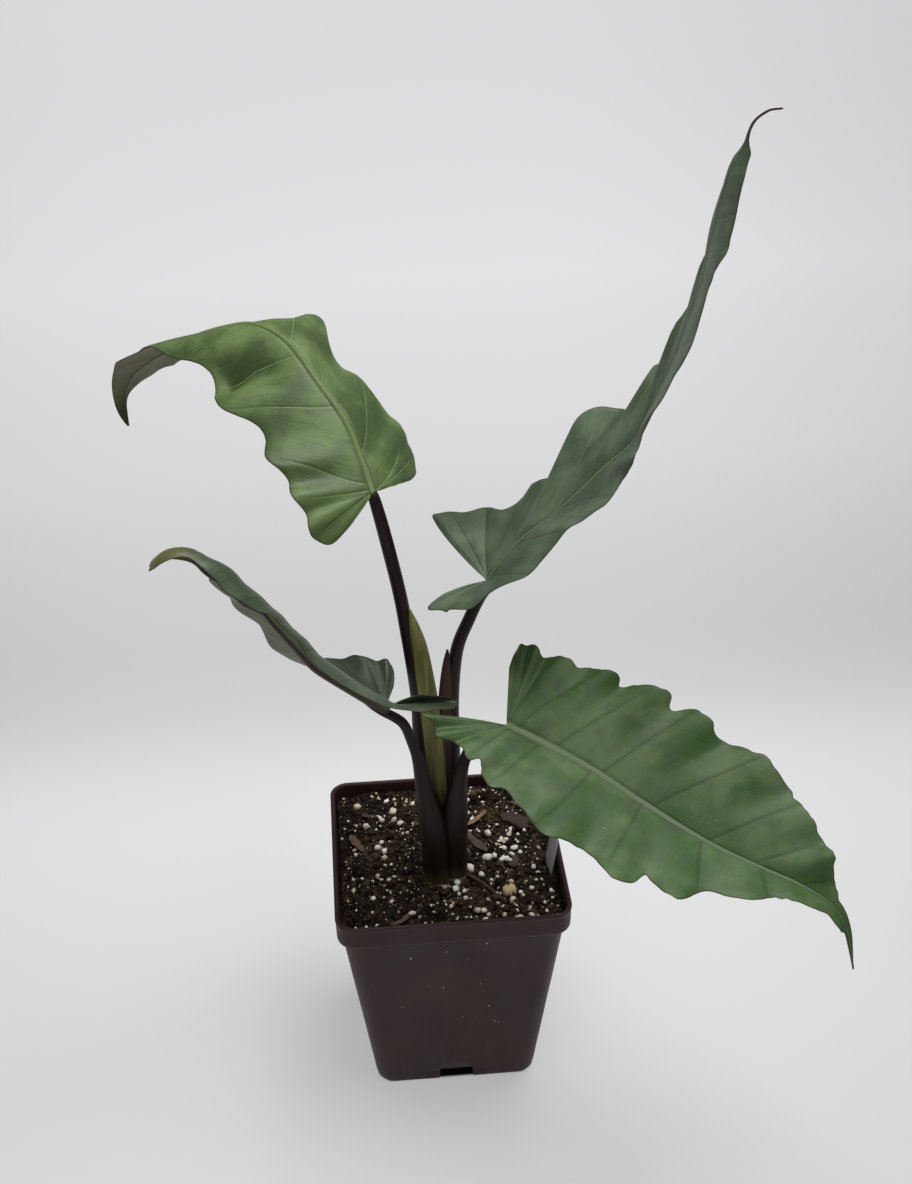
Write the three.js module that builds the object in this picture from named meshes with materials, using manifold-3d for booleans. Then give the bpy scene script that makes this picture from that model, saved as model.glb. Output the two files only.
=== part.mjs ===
// Potted alocasia lauterbachiana: four arrow-shaped, wavy leaves on dark stems in a square nursery pot.
// Millimetres, +Z up, -Y toward the viewer; the origin is the centre of the pot's underside.
import * as THREE from 'three';
import { mergeVertices } from 'three/addons/utils/BufferGeometryUtils.js';
import Module from 'manifold-3d';

const wasm = await Module();
wasm.setup();

// Clearance between neighbouring pieces.
const gap = 0.3;

// Pot: an 11 cm square nursery pot with a stepped rim band and a drainage notch in each side.
const potHeight = 118;
const rimHalf = 55;
const rimBand = 12;
const rimWall = 2;
const bodyTopHalf = 53.5;
const baseHalf = 39.5;
const bodyWall = 1.3;
const potFloor = 1.6;
const potCorner = 9;
const notchWidth = 16.5;
const notchHeight = 3.2;
const notchDepth = 14;
const drainRadius = 3;

// Soil: a little below the rim, with a low mound round the stems.
const soilTop = 108.2;
const soilMound = 1.4;
const grainCount = 46;
const grainSizes = [1.1, 2.3];
// Bark, a stick and a cream lump on the soil: [x, y, length, width, height, turn in degrees].
const chips = [
  [-46, 14, 9, 6.5, 3, 60],
  [18, 27, 9, 4, 2.4, 35],
  [16, 7, 12, 3.4, 2.4, -50],
  [20, -25, 15, 2.6, 2.2, -38],
  [28, -26, 6.5, 5.5, 5, 20],
  [-25, -44, 11, 1.8, 1.8, 65],
];

// Rootstock below the soil: [radius, height].
const cormProfile = [[0, 70], [6, 71], [10.5, 77], [12, 84], [11, 91], [8, 95], [0, 95]];

// Blank plant tag: pushed in beside the right wall with its point down.
const tagWidth = 12;
const tagThick = 0.8;
const tagBottom = 84;
const tagTop = 163;
const tagPoint = 20;
const tagFoot = [46.3, -15];
const tagLean = 0.125;
const tagTurn = 8;

// Stems, from the soil to the blade: [x, y, z, radius]; their sheaths: [x, y, z, half width, half depth].
const stems = {
  upper_left: {
    path: [[-4, -7, 96, 6], [-6, -5, 125, 5.6], [-9, -3, 155, 4.8], [-10, -1, 183, 4.2], [-11, 0, 210, 3.8],
      [-15, 1, 243, 3.2], [-18, 2, 265, 3], [-23, 3, 292, 2.9], [-27, 4, 313, 2.8]],
    sheath: [[-4, -6, 125, 4, 3], [-4.5, -4.5, 150, 4.2, 3], [-5.5, -3, 173, 4.2, 2.8], [-6.5, -2.5, 196, 4.1, 2.6],
      [-8, -2, 215, 3.8, 2.4], [-10, -1.5, 235, 3.2, 2], [-12, -1, 247, 2.2, 1.5], [-13.5, -0.5, 256, 0.7, 0.7]],
  },
  tall_right: {
    path: [[3, -4, 96, 5.5], [3, -3, 125, 5], [3.5, 0, 150, 4.4], [4, 1, 180, 3.9], [4.5, 2, 205, 3.5],
      [7.5, 3, 230, 3], [13.5, 4, 246, 2.8], [19, 5.5, 257, 2.7], [22, 6, 264, 2.7]],
    sheath: [[1.5, -4, 125, 3.6, 3], [1, -2, 150, 3.4, 2.8], [1, -1, 175, 3.4, 2.6], [1.2, -0.6, 200, 3.3, 2.2],
      [1.8, -0.2, 214, 2.8, 1.8], [2.5, 0.3, 225, 1.8, 1.3], [3, 0.6, 232, 0.7, 0.7]],
  },
  lower_left: {
    path: [[-5, -13, 96, 6.3], [-5.5, -13, 109, 6.2], [-7, -12.5, 132, 5.6], [-9.5, -12, 157, 4.6],
      [-12.5, -12, 180, 2.9], [-15.5, -12, 192, 2.4], [-19.4, -13, 203, 2.3], [-27, -14, 212, 2.3]],
  },
  lower_right: {
    path: [[4, -11, 96, 5.8], [3.7, -11, 113, 5.6], [4.3, -11, 136, 5.3], [4.5, -11, 160, 4.6],
      [8, -12.5, 176, 3], [11, -17, 188, 2.6], [15.5, -27, 202, 2.5], [25, -45, 221, 2.4]],
  },
};
const stemSides = 10;

// Blades. midrib: points from the stem to the tip; face: [part of the length, direction the upper side faces].
// left and right: veins from the stem to the tip, each [part of the length where it leaves the midrib, angle
// from the midrib, length, rise at the midrib, rise at the margin] in mm and degrees.
// dips: notches in the margin, [place in the list of veins, depth]; wave: how far the margin falls at a dip.
const bladeThick = 0.8;
const ribWidths = [2.5, 0.55];
const blades = {
  upper_left: {
    midrib: [[-27, 4, 313], [-31, 14, 324], [-37, 26, 337], [-47, 40, 348], [-60, 58, 361], [-74, 73, 364],
      [-89, 84, 359], [-105, 93, 351], [-118, 99, 342], [-127, 102, 336], [-136, 104, 328], [-141, 105, 317],
      [-140, 102, 304]],
    face: [[0, 0.45, -0.75, 0.45], [0.3, 0.35, -0.6, 0.7], [0.55, 0.1, -0.3, 0.95], [0.72, -0.4, 0.35, 0.8],
      [0.88, -0.6, 0.6, 0.3], [1, -0.6, 0.8, 0.1]],
    left: [[0, 130, 18, -10, -15], [0, 127, 30, -10, -20], [0, 111, 33, -9, -19], [0, 92, 35, -7, -17],
      [0.02, 83, 35, -6, -16], [0.07, 81, 37, -7, -17], [0.12, 80, 39, -10, -25], [0.21, 77, 40, -10, -30],
      [0.3, 80, 41, -15, -35], [0.38, 76, 40, -18, -41], [0.46, 64, 35, -13, -36], [0.53, 52, 29, 4, -18],
      [0.6, 47, 25, 12, -8], [0.68, 47, 21, 15, 5], [0.76, 45, 16, 10, 8], [0.84, 45, 10, 5, 5],
      [0.92, 40, 5, 0, 0], [1, 30, 0.8, 0, 0]],
    right: [[0, 80, 15, -10, -15], [0, 78, 26, -10, -25], [0, 72, 32, -9, -24], [0, 61, 37, -8, -22],
      [0.04, 56, 38, -9, -24], [0.1, 51, 40, -15, -30], [0.18, 49, 41, -18, -33], [0.26, 50, 42, -16, -36],
      [0.33, 54, 42, -11, -36], [0.4, 58, 41, -10, -35], [0.47, 62, 38, -15, -45], [0.54, 58, 33, -25, -55],
      [0.6, 35, 32, -18, -40], [0.68, 25, 27, -10, -30], [0.76, 32, 18, -5, -20], [0.84, 42, 9, -10, -20],
      [0.92, 38, 4, -5, -5], [1, 30, 0.8, 0, 0]],
    dips: { left: [[3, 5], [4.5, 2.5], [6.8, 6], [9.6, 4], [12, 2]], right: [[4.6, 1], [6.6, 4], [11, 2]] },
    wave: { left: 14, right: 8 },
  },
  tall_right: {
    midrib: [[22, 6, 264], [30, 4, 277], [39, 3, 288], [49, 1, 297], [61, -1, 310], [72, -2, 322], [83, -4, 334],
      [89, -6, 348], [96, -7, 365], [102, -9, 386], [107, -10, 404], [109, -12, 421], [111, -14, 438],
      [114, -15, 453], [118, -17, 465], [123, -19, 473], [126, -20, 477], [130, -22, 478]],
    face: [[0, -0.76, 0.05, 0.64], [0.4, -0.76, 0, 0.64], [0.7, -0.9, -0.1, 0.4], [1, -0.9, -0.1, 0.4]],
    left: [[0, 107, 33, 34, 29], [0, 103, 50, 36, 30], [0, 94, 50, 30, 24], [0, 78, 44, 14, 9],
      [0.015, 65, 45, 5, 0], [0.03, 51, 50, -2, -8], [0.07, 42, 56, 4, -2], [0.1, 37, 63, 10, 2],
      [0.14, 36, 63, 12, 4], [0.2, 33, 58, 8, 0], [0.27, 33, 54, 9, 0], [0.34, 36, 49, 12, 3],
      [0.42, 37, 43, 4, -6], [0.5, 38, 38, 0, -10], [0.58, 39, 33, -2, -12], [0.66, 40, 28, -2, -12],
      [0.74, 39, 22, -3, -12], [0.82, 34, 14, -6, -11], [0.9, 29, 4.6, -3, -3], [0.94, 20, 1.2, 0, 0],
      [1, 20, 0.8, 0, 0]],
    right: [[0, 151, 20, 56, 51], [0, 144, 31, 46, 40], [0, 122, 27, 37, 31], [0, 90, 30, 24, 16],
      [0, 63, 37, 12, 6], [0.03, 53, 43, 3, -5], [0.08, 49, 46, 6, -2], [0.14, 47, 48, 13, 5],
      [0.2, 50, 47, 11, 3], [0.27, 55, 44, 15, 7], [0.33, 56, 41, 21, 13], [0.4, 54, 39, 19, 14],
      [0.47, 57, 36, 19, 15], [0.53, 61, 34, 17, 10], [0.6, 69, 31, 18, 10], [0.67, 73, 30, 20, 12],
      [0.73, 74, 27, 14, 6], [0.79, 75, 23, 7, 1], [0.85, 72, 16, 4, 0], [0.9, 58, 7, -4, -4],
      [0.94, 20, 1.2, 0, 0], [1, 20, 0.8, 0, 0]],
    dips: { left: [[4.1, 5], [5.5, 5], [9.2, 5], [11.3, 3], [13.5, 1.5]],
      right: [[3, 2], [5.5, 5], [9, 4], [10.6, 7], [15.4, 5]] },
    wave: { left: 10, right: 12 },
  },
  lower_left: {
    midrib: [[-27, -14, 212], [-39, -15, 222], [-53, -16, 234], [-59, -17, 241], [-66, -19, 253], [-73, -20, 264],
      [-77, -21, 271], [-85, -22, 277], [-91, -22, 285], [-99, -23, 293], [-104, -23, 299], [-111, -24, 302],
      [-117, -24, 302], [-119, -24, 300], [-122, -24, 297]],
    face: [[0, 0.45, -0.25, 0.85], [0.15, 0.5, 0, 0.85], [0.35, 0.6, 0.4, 0.7], [0.7, 0.6, 0.35, 0.7],
      [1, 0.2, 0.2, 0.9]],
    left: [[0, 165, 19, 74, 54], [0, 178, 35, 60, 30], [0, 128, 29, 76, 42], [0, 75, 28, 70, 26],
      [0.03, 63, 30, 66, 11], [0.1, 57, 32, 62, -3], [0.2, 54, 34, 58, -17], [0.29, 46, 35, 48, -32],
      [0.38, 42, 35, 41, -39], [0.47, 43, 32, 40, -40], [0.56, 44, 29, 39, -39], [0.65, 44, 25, 38, -32],
      [0.74, 42, 20, 34, -24], [0.83, 39, 14, 18, -20], [0.91, 36, 5, 6, -12], [0.95, 20, 1.2, 0, 0],
      [1, 20, 0.8, 0, 0]],
    right: [[0, 87, 14, 17, 12], [0, 87, 24, 13, 8], [0, 83, 27, 10, 5], [0, 76, 28, 2, -3],
      [0.02, 68, 29, -3, -8], [0.08, 75, 30, -8, -18], [0.14, 81, 31, -12, -21], [0.2, 85, 31, -17, -18],
      [0.27, 84, 27, -18, -18], [0.36, 72, 18, -24, -20], [0.44, 66, 16, -22, -17], [0.52, 62, 16, -24, -16],
      [0.62, 57, 14, -14, -8], [0.7, 51, 12, -11, -4], [0.82, 44, 8, -5, 2], [0.91, 35, 4, 0, 0],
      [0.95, 20, 1.2, 0, 0], [1, 20, 0.8, 0, 0]],
    dips: { left: [], right: [[2.7, 1.5], [5, 3.5], [8.3, 4], [10.5, 3.5], [13, 2]] },
    wave: { left: 0, right: 8 },
  },
  lower_right: {
    midrib: [[25, -45, 221], [38, -55, 219], [59, -70, 213], [78, -84, 205], [103, -102, 196], [124, -115, 191],
      [136, -123, 189], [149, -129, 182], [156, -134, 172], [163, -138, 154]],
    face: [[0, 0, -0.4, 0.92], [1, 0, -0.4, 0.92]],
    left: [[0, 115, 29, 20, 20], [0, 107, 40, 20, 20], [0, 98, 39, 20, 20], [0.01, 82, 40, 20, 20],
      [0.04, 71, 42, 20, 20], [0.09, 68, 45, 20, 20], [0.17, 68, 48, 20, 20], [0.27, 68, 51, 20, 20],
      [0.38, 62, 50, 20, 20], [0.49, 52, 46, 20, 20], [0.6, 42, 34, 20, 20], [0.7, 38, 22, 20, 20],
      [0.79, 40, 13, 15, 15], [0.88, 40, 7, 10, 10], [1, 30, 0.8, 0, 0]],
    right: [[0, 151, 30, 20, 20], [0, 143, 37, 20, 20], [0, 127, 35, 20, 20], [0, 112, 31, 20, 20],
      [0.02, 96, 33, 20, 20], [0.08, 91, 40, 20, 20], [0.17, 87, 46, 20, 20], [0.27, 83, 48, 20, 20],
      [0.38, 78, 47, 20, 20], [0.49, 72, 38, 20, 20], [0.6, 66, 27, 20, 20], [0.7, 62, 20, 20, 20],
      [0.79, 55, 12, 15, 15], [0.88, 45, 6, 10, 10], [1, 30, 0.8, 0, 0]],
    dips: { left: [[1.6, 2.5], [2.5, 5.5], [4, 5], [5.4, 7], [6.6, 7], [7.7, 5], [9, 2], [10.4, 2], [11.6, 3]],
      right: [[1.4, 3.5], [2.6, 5], [4.2, 8], [6, 2.5], [7.3, 4], [8.4, 7], [9.5, 5], [11, 4]] },
    wave: { left: 12, right: 14 },
  },
};

const vec = (a) => new THREE.Vector3(a[0], a[1], a[2]);
const degrees = Math.PI / 180;

// A value from rows of numbers, smoothly between them; place runs from 0 to the last row.
function between(rows, place) {
  const last = rows.length - 1;
  const x = Math.min(Math.max(place, 0), last);
  const i = Math.min(Math.floor(x), last - 1);
  const u = x - i;
  const row = (k) => {
    if (k < 0) return rows[0].map((v, j) => 2 * v - rows[1][j]);
    if (k > last) return rows[last].map((v, j) => 2 * v - rows[last - 1][j]);
    return rows[k];
  };
  const [a, b, c, d] = [row(i - 1), row(i), row(i + 1), row(i + 2)];
  return b.map((v, j) => 0.5 * (2 * v + (c[j] - a[j]) * u + (2 * a[j] - 5 * v + 4 * c[j] - d[j]) * u * u
    + (3 * v - a[j] - 3 * c[j] + d[j]) * u * u * u));
}

// A curve through points, read by part of its length.
function curveOf(points) {
  const samples = [];
  for (let i = 0; i <= (points.length - 1) * 16; i += 1) {
    samples.push(vec(between(points, i / 16)));
  }
  const lengths = [0];
  for (let i = 1; i < samples.length; i += 1) {
    lengths.push(lengths[i - 1] + samples[i].distanceTo(samples[i - 1]));
  }
  const total = lengths[lengths.length - 1];
  return (t) => {
    const target = Math.min(Math.max(t, 0), 1) * total;
    let i = 1;
    while (i < lengths.length - 1 && lengths[i] < target) i += 1;
    const u = (target - lengths[i - 1]) / (lengths[i] - lengths[i - 1]);
    return samples[i - 1].clone().lerp(samples[i], u);
  };
}

// Closed solid from points and triangles.
function solid(points, triangles) {
  const geometry = new THREE.BufferGeometry();
  geometry.setAttribute('position', new THREE.Float32BufferAttribute(points.flatMap((p) => [p.x, p.y, p.z]), 3));
  geometry.setIndex(triangles.flat());
  return solidOf(geometry);
}

function solidOf(geometry) {
  const bare = new THREE.BufferGeometry();
  bare.setAttribute('position', geometry.getAttribute('position'));
  if (geometry.index) bare.setIndex(geometry.index);
  const merged = mergeVertices(bare, 1e-4);
  const index = merged.index.array;
  const kept = [];
  for (let i = 0; i < index.length; i += 3) {
    const [a, b, c] = [index[i], index[i + 1], index[i + 2]];
    if (a !== b && b !== c && c !== a) kept.push(a, b, c);
  }
  return new wasm.Manifold(new wasm.Mesh({
    numProp: 3,
    vertProperties: new Float32Array(merged.getAttribute('position').array),
    triVerts: new Uint32Array(kept),
  }));
}

function geometryOf(shape) {
  const data = shape.getMesh();
  const geometry = new THREE.BufferGeometry();
  geometry.setAttribute('position', new THREE.BufferAttribute(new Float32Array(data.vertProperties), 3));
  geometry.setIndex(new THREE.BufferAttribute(new Uint32Array(data.triVerts), 1));
  return geometry;
}

// A named mesh; scraps that a cut leaves at an edge are dropped.
function meshOf(name, shape, colour, roughness) {
  const whole = largest(solidOf(geometryOf(shape)));
  const material = new THREE.MeshStandardMaterial({ color: colour, roughness, metalness: 0 });
  const mesh = new THREE.Mesh(geometryOf(whole), material);
  mesh.name = name;
  return mesh;
}

function largest(shape) {
  return shape.decompose().sort((a, b) => b.volume() - a.volume())[0];
}

// Skin over rings of equal length, closed by a fan at each end.
function loft(rings) {
  const n = rings[0].length;
  const points = rings.flat();
  const triangles = [];
  for (let k = 0; k < rings.length - 1; k += 1) {
    for (let j = 0; j < n; j += 1) {
      const a = k * n + j;
      const b = k * n + ((j + 1) % n);
      triangles.push([a, b, b + n], [a, b + n, a + n]);
    }
  }
  const middle = (ring) => ring.reduce((s, p) => s.add(p), new THREE.Vector3()).divideScalar(n);
  const start = points.length;
  points.push(middle(rings[0]), middle(rings[rings.length - 1]));
  const top = (rings.length - 1) * n;
  for (let j = 0; j < n; j += 1) {
    const next = (j + 1) % n;
    triangles.push([start, next, j], [start + 1, top + j, top + next]);
  }
  return solid(points, triangles);
}

// Square ring with rounded corners at one height.
function squareRing(half, height, corner, perCorner = 4) {
  const ring = [];
  for (let side = 0; side < 4; side += 1) {
    for (let k = 0; k <= perCorner; k += 1) {
      const angle = (side + k / perCorner) * Math.PI / 2;
      const centre = (side + 0.5) * Math.PI / 2;
      const inset = (half - corner) * Math.SQRT2;
      ring.push(new THREE.Vector3(
        inset * Math.cos(centre) + corner * Math.cos(angle),
        inset * Math.sin(centre) + corner * Math.sin(angle),
        height,
      ));
    }
  }
  return ring;
}

function box(width, depth, height, x, y, z, turn = 0) {
  const geometry = new THREE.BoxGeometry(width, depth, height);
  geometry.rotateZ(turn * degrees);
  geometry.translate(x, y, z + height / 2);
  return solidOf(geometry);
}

const bodyHalfAt = (z) => baseHalf + (bodyTopHalf - baseHalf) * (z / (potHeight - rimBand));

// Channels that run in from the four side notches; grow makes them larger for the soil's clearance.
function channels(grow, wall) {
  const parts = [0, 90, 180, 270].map((turn) => {
    const length = notchDepth + wall + grow;
    const middle = baseHalf + 1 - length / 2;
    const [c, s] = [Math.cos(turn * degrees), Math.sin(turn * degrees)];
    return box(length, notchWidth + 2 * (wall + grow), notchHeight + wall + grow + 1, middle * c, middle * s, -1, turn);
  });
  return parts.reduce((a, b) => a.add(b));
}

function makePot() {
  const bandFoot = potHeight - rimBand;
  const rings = [
    squareRing(baseHalf - 0.8, 0, potCorner - 0.8),
    squareRing(baseHalf + 0.1, 1, potCorner),
    squareRing(bodyTopHalf, bandFoot, potCorner),
    squareRing(rimHalf - 0.3, bandFoot + 0.4, potCorner),
    squareRing(rimHalf, potHeight - 0.6, potCorner),
    squareRing(rimHalf - 0.6, potHeight, potCorner - 0.6),
    squareRing(rimHalf - rimWall + 0.4, potHeight, potCorner - rimWall + 0.4),
    squareRing(rimHalf - rimWall, potHeight - 0.6, potCorner - rimWall),
    squareRing(bodyTopHalf - bodyWall, bandFoot - 1, potCorner - bodyWall),
    squareRing(bodyHalfAt(potFloor) - bodyWall, potFloor, potCorner - bodyWall),
  ];
  const shell = loft(rings);
  const base = loft([squareRing(baseHalf - 0.8, 0, potCorner - 0.8), squareRing(baseHalf - 0.2, 6, potCorner)]);
  const housings = channels(0, bodyWall).intersect(base);
  const drains = [0, 90, 180, 270].map((turn) => {
    const hole = new THREE.CylinderGeometry(drainRadius, drainRadius, 4, 12);
    hole.rotateX(Math.PI / 2);
    const reach = baseHalf + 1 - notchDepth + drainRadius + 2;
    hole.translate(reach * Math.cos(turn * degrees), reach * Math.sin(turn * degrees), notchHeight + 1);
    return solidOf(hole);
  });
  return drains.reduce((a, b) => a.subtract(b), shell.add(housings).subtract(channels(0, 0)));
}

// Height of the soil: low swells, finer crumbs and the mound round the stems.
function soilHeight(x, y) {
  const swell = 0.9 * Math.sin(x / 9 + 1) * Math.cos(y / 11) + 0.5 * Math.sin(x / 4.1 - y / 5.3);
  const mound = soilMound * Math.exp(-(x * x + (y + 9) * (y + 9)) / 500);
  return soilTop + swell + mound;
}

// Repeatable scatter: numbers from 0 to 1.
function scatter(seed) {
  let state = seed;
  return () => {
    state = (state * 16807) % 2147483647;
    return state / 2147483647;
  };
}

function makeSoil() {
  const corner = potCorner - bodyWall - gap;
  const halfAt = (z) => bodyHalfAt(z) - bodyWall - gap;
  const foot = potFloor + gap;
  const rings = [squareRing(halfAt(foot), foot, corner, 6), squareRing(halfAt(105), 105, corner, 6)];
  for (const k of [1, 0.93, 0.84, 0.74, 0.63, 0.52, 0.41, 0.3, 0.19, 0.08]) {
    const ring = squareRing(halfAt(105) * k, 0, corner * k, 6);
    ring.forEach((p) => {
      p.z = soilHeight(p.x, p.y);
    });
    rings.push(ring);
  }
  let soil = loft(rings).subtract(channels(gap, bodyWall));
  const random = scatter(21);
  let placed = 0;
  while (placed < grainCount) {
    const [x, y] = [(random() - 0.5) * 94, (random() - 0.5) * 94];
    const radius = grainSizes[0] + (grainSizes[1] - grainSizes[0]) * random() ** 2;
    if (Math.hypot(x, y + 9) > 17) {
      const grain = new THREE.IcosahedronGeometry(radius, 0);
      grain.rotateX(random() * 6);
      grain.rotateZ(random() * 6);
      grain.translate(x, y, soilHeight(x, y) + 0.2 * radius);
      soil = soil.add(solidOf(grain));
      placed += 1;
    }
  }
  for (const [x, y, length, width, height, turn] of chips) {
    soil = soil.add(box(length, width, height, x, y, soilHeight(x, y) - height * 0.45, turn));
  }
  return soil;
}

function makeCorm(grow) {
  const [low, high] = [cormProfile[0][1], cormProfile[cormProfile.length - 1][1]];
  const outline = cormProfile.map(([r, z]) => {
    const out = r === 0 ? 0 : r + grow;
    return new THREE.Vector2(out, z === low ? z - grow : z === high ? z + grow : z);
  });
  const geometry = new THREE.LatheGeometry(outline, 16);
  geometry.rotateX(Math.PI / 2);
  geometry.translate(-0.5, -8.5, 0);
  return solidOf(geometry);
}

// Tube with an oval section along points [x, y, z, half width, half depth].
function tube(points, grow, sides, reach = 0) {
  const rows = points.map((p) => (p.length === 4 ? [...p, p[3]] : p));
  const rings = [];
  const steps = (rows.length - 1) * 2;
  for (let k = 0; k <= steps; k += 1) {
    const [x, y, z, wide, deep] = between(rows, k / 2);
    const ahead = vec(between(rows, k / 2 + 0.1)).sub(vec(between(rows, k / 2 - 0.1))).normalize();
    const across = new THREE.Vector3(1, 0, 0).addScaledVector(ahead, -ahead.x).normalize();
    const front = new THREE.Vector3().crossVectors(ahead, across);
    const end = k === 0 ? -reach : 0;
    const ring = [];
    for (let j = 0; j < sides; j += 1) {
      const angle = (2 * Math.PI * j) / sides;
      ring.push(new THREE.Vector3(x, y, z).addScaledVector(ahead, end)
        .addScaledVector(across, (wide + grow) * Math.cos(angle))
        .addScaledVector(front, (deep + grow) * Math.sin(angle)));
    }
    rings.push(ring);
  }
  return loft(rings);
}

function makeStem(name, grow) {
  const { path, sheath } = stems[name];
  const core = tube(path, grow, stemSides, grow);
  return sheath ? largest(core.add(tube(sheath, grow, stemSides))) : core;
}

// Direction frame along a midrib: point, forward, upper side and right.
function midribFrame(blade) {
  const curve = curveOf(blade.midrib);
  return (part) => {
    const forward = curve(Math.min(part + 0.02, 1)).sub(curve(Math.max(part - 0.02, 0))).normalize();
    const f = blade.face;
    let i = 1;
    while (i < f.length - 1 && f[i][0] < part) i += 1;
    const u = Math.min(Math.max((part - f[i - 1][0]) / (f[i][0] - f[i - 1][0]), 0), 1);
    const up = new THREE.Vector3(...f[i - 1].slice(1)).lerp(new THREE.Vector3(...f[i].slice(1)), u);
    up.addScaledVector(forward, -up.dot(forward)).normalize();
    return { point: curve(part), forward, up, right: new THREE.Vector3().crossVectors(forward, up) };
  };
}

// How deep in a dip a place on the margin lies: 1 at a dip, 0 at the middle of a lobe.
function dipAt(dips, x) {
  if (dips.length === 0) return [0, 0];
  const last = dips.length - 1;
  const fall = (u) => (1 - Math.sin(Math.PI * Math.min(Math.max(u, 0), 1))) ** 1.5;
  if (x <= dips[0][0]) return [fall((dips[0][0] - x) / 1.2), dips[0][1]];
  if (x >= dips[last][0]) return [fall((x - dips[last][0]) / 1.2), dips[last][1]];
  let i = 1;
  while (dips[i][0] < x) i += 1;
  const u = (x - dips[i - 1][0]) / (dips[i][0] - dips[i - 1][0]);
  return [fall(u), dips[i - 1][1] * (1 - u) + dips[i][1] * u];
}

// Points along one vein: it leaves the midrib at its own angle and bends from its first rise to its last.
function vein(blade, frame, side, place, steps) {
  const row = between(blade[side], place);
  const [t, angle, , rise0] = row;
  const [dip, depth] = dipAt(blade.dips[side], place);
  const length = Math.max(row[2] - depth * dip, 0.6);
  const rise1 = row[4] - blade.wave[side] * dip;
  const { point, forward, up, right } = frame(Math.min(Math.max(t, 0), 1));
  const sign = side === 'right' ? 1 : -1;
  const out = forward.clone().multiplyScalar(Math.cos(angle * degrees))
    .addScaledVector(right, sign * Math.sin(angle * degrees));
  const start = rise0 * degrees;
  let bend = (rise1 - rise0) * degrees;
  if (Math.abs(bend) < 1e-4) bend = 1e-4;
  return steps.map((v) => point.clone()
    .addScaledVector(out, length * (Math.sin(start + bend * v) - Math.sin(start)) / bend)
    .addScaledVector(up, length * (Math.cos(start) - Math.cos(start + bend * v)) / bend));
}

// Places along the list of veins where the blade gets a row of points: every vein, every dip and lobe.
function places(blade, side) {
  const list = blade.dips[side].map((d) => d[0]);
  for (let i = 1; i < blade.dips[side].length; i += 1) {
    const [a, b] = [blade.dips[side][i - 1][0], blade.dips[side][i][0]];
    list.push(a + (b - a) * 0.22, (a + b) / 2, b - (b - a) * 0.22);
  }
  for (let k = 0; k < blade[side].length; k += 1) {
    if (list.every((x) => Math.abs(x - k) > 0.3)) list.push(k);
  }
  return list.sort((a, b) => a - b);
}

// Triangles between two chains of points that run the same way, each chain a list of [index, place].
function ladder(a, b) {
  const triangles = [];
  let [i, j] = [0, 0];
  while (i < a.length - 1 || j < b.length - 1) {
    const stepA = j === b.length - 1 || (i < a.length - 1 && a[i + 1][1] <= b[j + 1][1]);
    if (stepA) {
      triangles.push([a[i][0], b[j][0], a[i + 1][0]]);
      i += 1;
    } else {
      triangles.push([a[i][0], b[j][0], b[j + 1][0]]);
      j += 1;
    }
  }
  return triangles;
}

// A blade: one sheet over both halves, split alike on both faces and thickened below along the midrib.
function makeBlade(name) {
  const blade = blades[name];
  const frame = midribFrame(blade);
  const steps = [0.06, 0.3, 0.56, 0.8, 1];
  const m = steps.length;
  const halves = ['left', 'right'].map((side) => {
    const list = places(blade, side);
    const parts = list.map((x) => Math.min(Math.max(between(blade[side], x)[0], 0), 1));
    return { parts, rows: list.map((x) => vein(blade, frame, side, x, steps)) };
  });
  const spine = [...new Set([0, ...halves[0].parts, ...halves[1].parts, 1].map((t) => Number(t.toFixed(3))))];
  spine.sort((a, b) => a - b);
  const kept = spine.filter((t, k) => k === 0 || k === spine.length - 1 || (t - spine[k - 1] > 0.012 && t < 0.985));
  const middle = kept.map((t) => frame(t).point);
  const depth = kept.map((t) => bladeThick / 2 + ribWidths[1] + (ribWidths[0] - ribWidths[1]) * (1 - t) ** 1.3);
  const faces = [];
  const edges = halves.map(({ parts, rows }, h) => {
    const start = middle.length;
    middle.push(...rows.flat());
    depth.push(...rows.flat().map(() => bladeThick / 2));
    const n = rows.length;
    const own = [];
    const at = (i, j) => start + i * m + j;
    for (let i = 0; i < n - 1; i += 1) {
      for (let j = 0; j < m - 1; j += 1) {
        own.push([at(i, j), at(i, j + 1), at(i + 1, j + 1)], [at(i, j), at(i + 1, j + 1), at(i + 1, j)]);
      }
    }
    own.push(...ladder(kept.map((t, k) => [k, t]), parts.map((t, i) => [at(i, 0), t])));
    faces.push(...own.map(([a, b, c]) => (h === 0 ? [a, c, b] : [a, b, c])));
    const edge = [];
    for (let j = 0; j < m; j += 1) edge.push(at(0, j));
    for (let i = 1; i < n; i += 1) edge.push(at(i, m - 1));
    for (let j = m - 2; j >= 0; j -= 1) edge.push(at(n - 1, j));
    return edge;
  });
  const normals = middle.map(() => new THREE.Vector3());
  faces.forEach(([a, b, c]) => {
    const normal = middle[b].clone().sub(middle[a]).cross(middle[c].clone().sub(middle[a]));
    [a, b, c].forEach((k) => normals[k].add(normal));
  });
  normals.forEach((v) => v.normalize());
  const total = middle.length;
  const points = [
    ...middle.map((p, k) => p.clone().addScaledVector(normals[k], bladeThick / 2)),
    ...middle.map((p, k) => p.clone().addScaledVector(normals[k], -depth[k])),
  ];
  const triangles = faces.flatMap(([a, b, c]) => [[a, b, c], [total + a, total + c, total + b]]);
  const rim = [0, ...edges[1], kept.length - 1, ...edges[0].reverse()];
  rim.forEach((a, k) => {
    const b = rim[(k + 1) % rim.length];
    triangles.push([a, total + a, total + b], [a, total + b, b]);
  });
  return solid(points, triangles);
}

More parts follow.
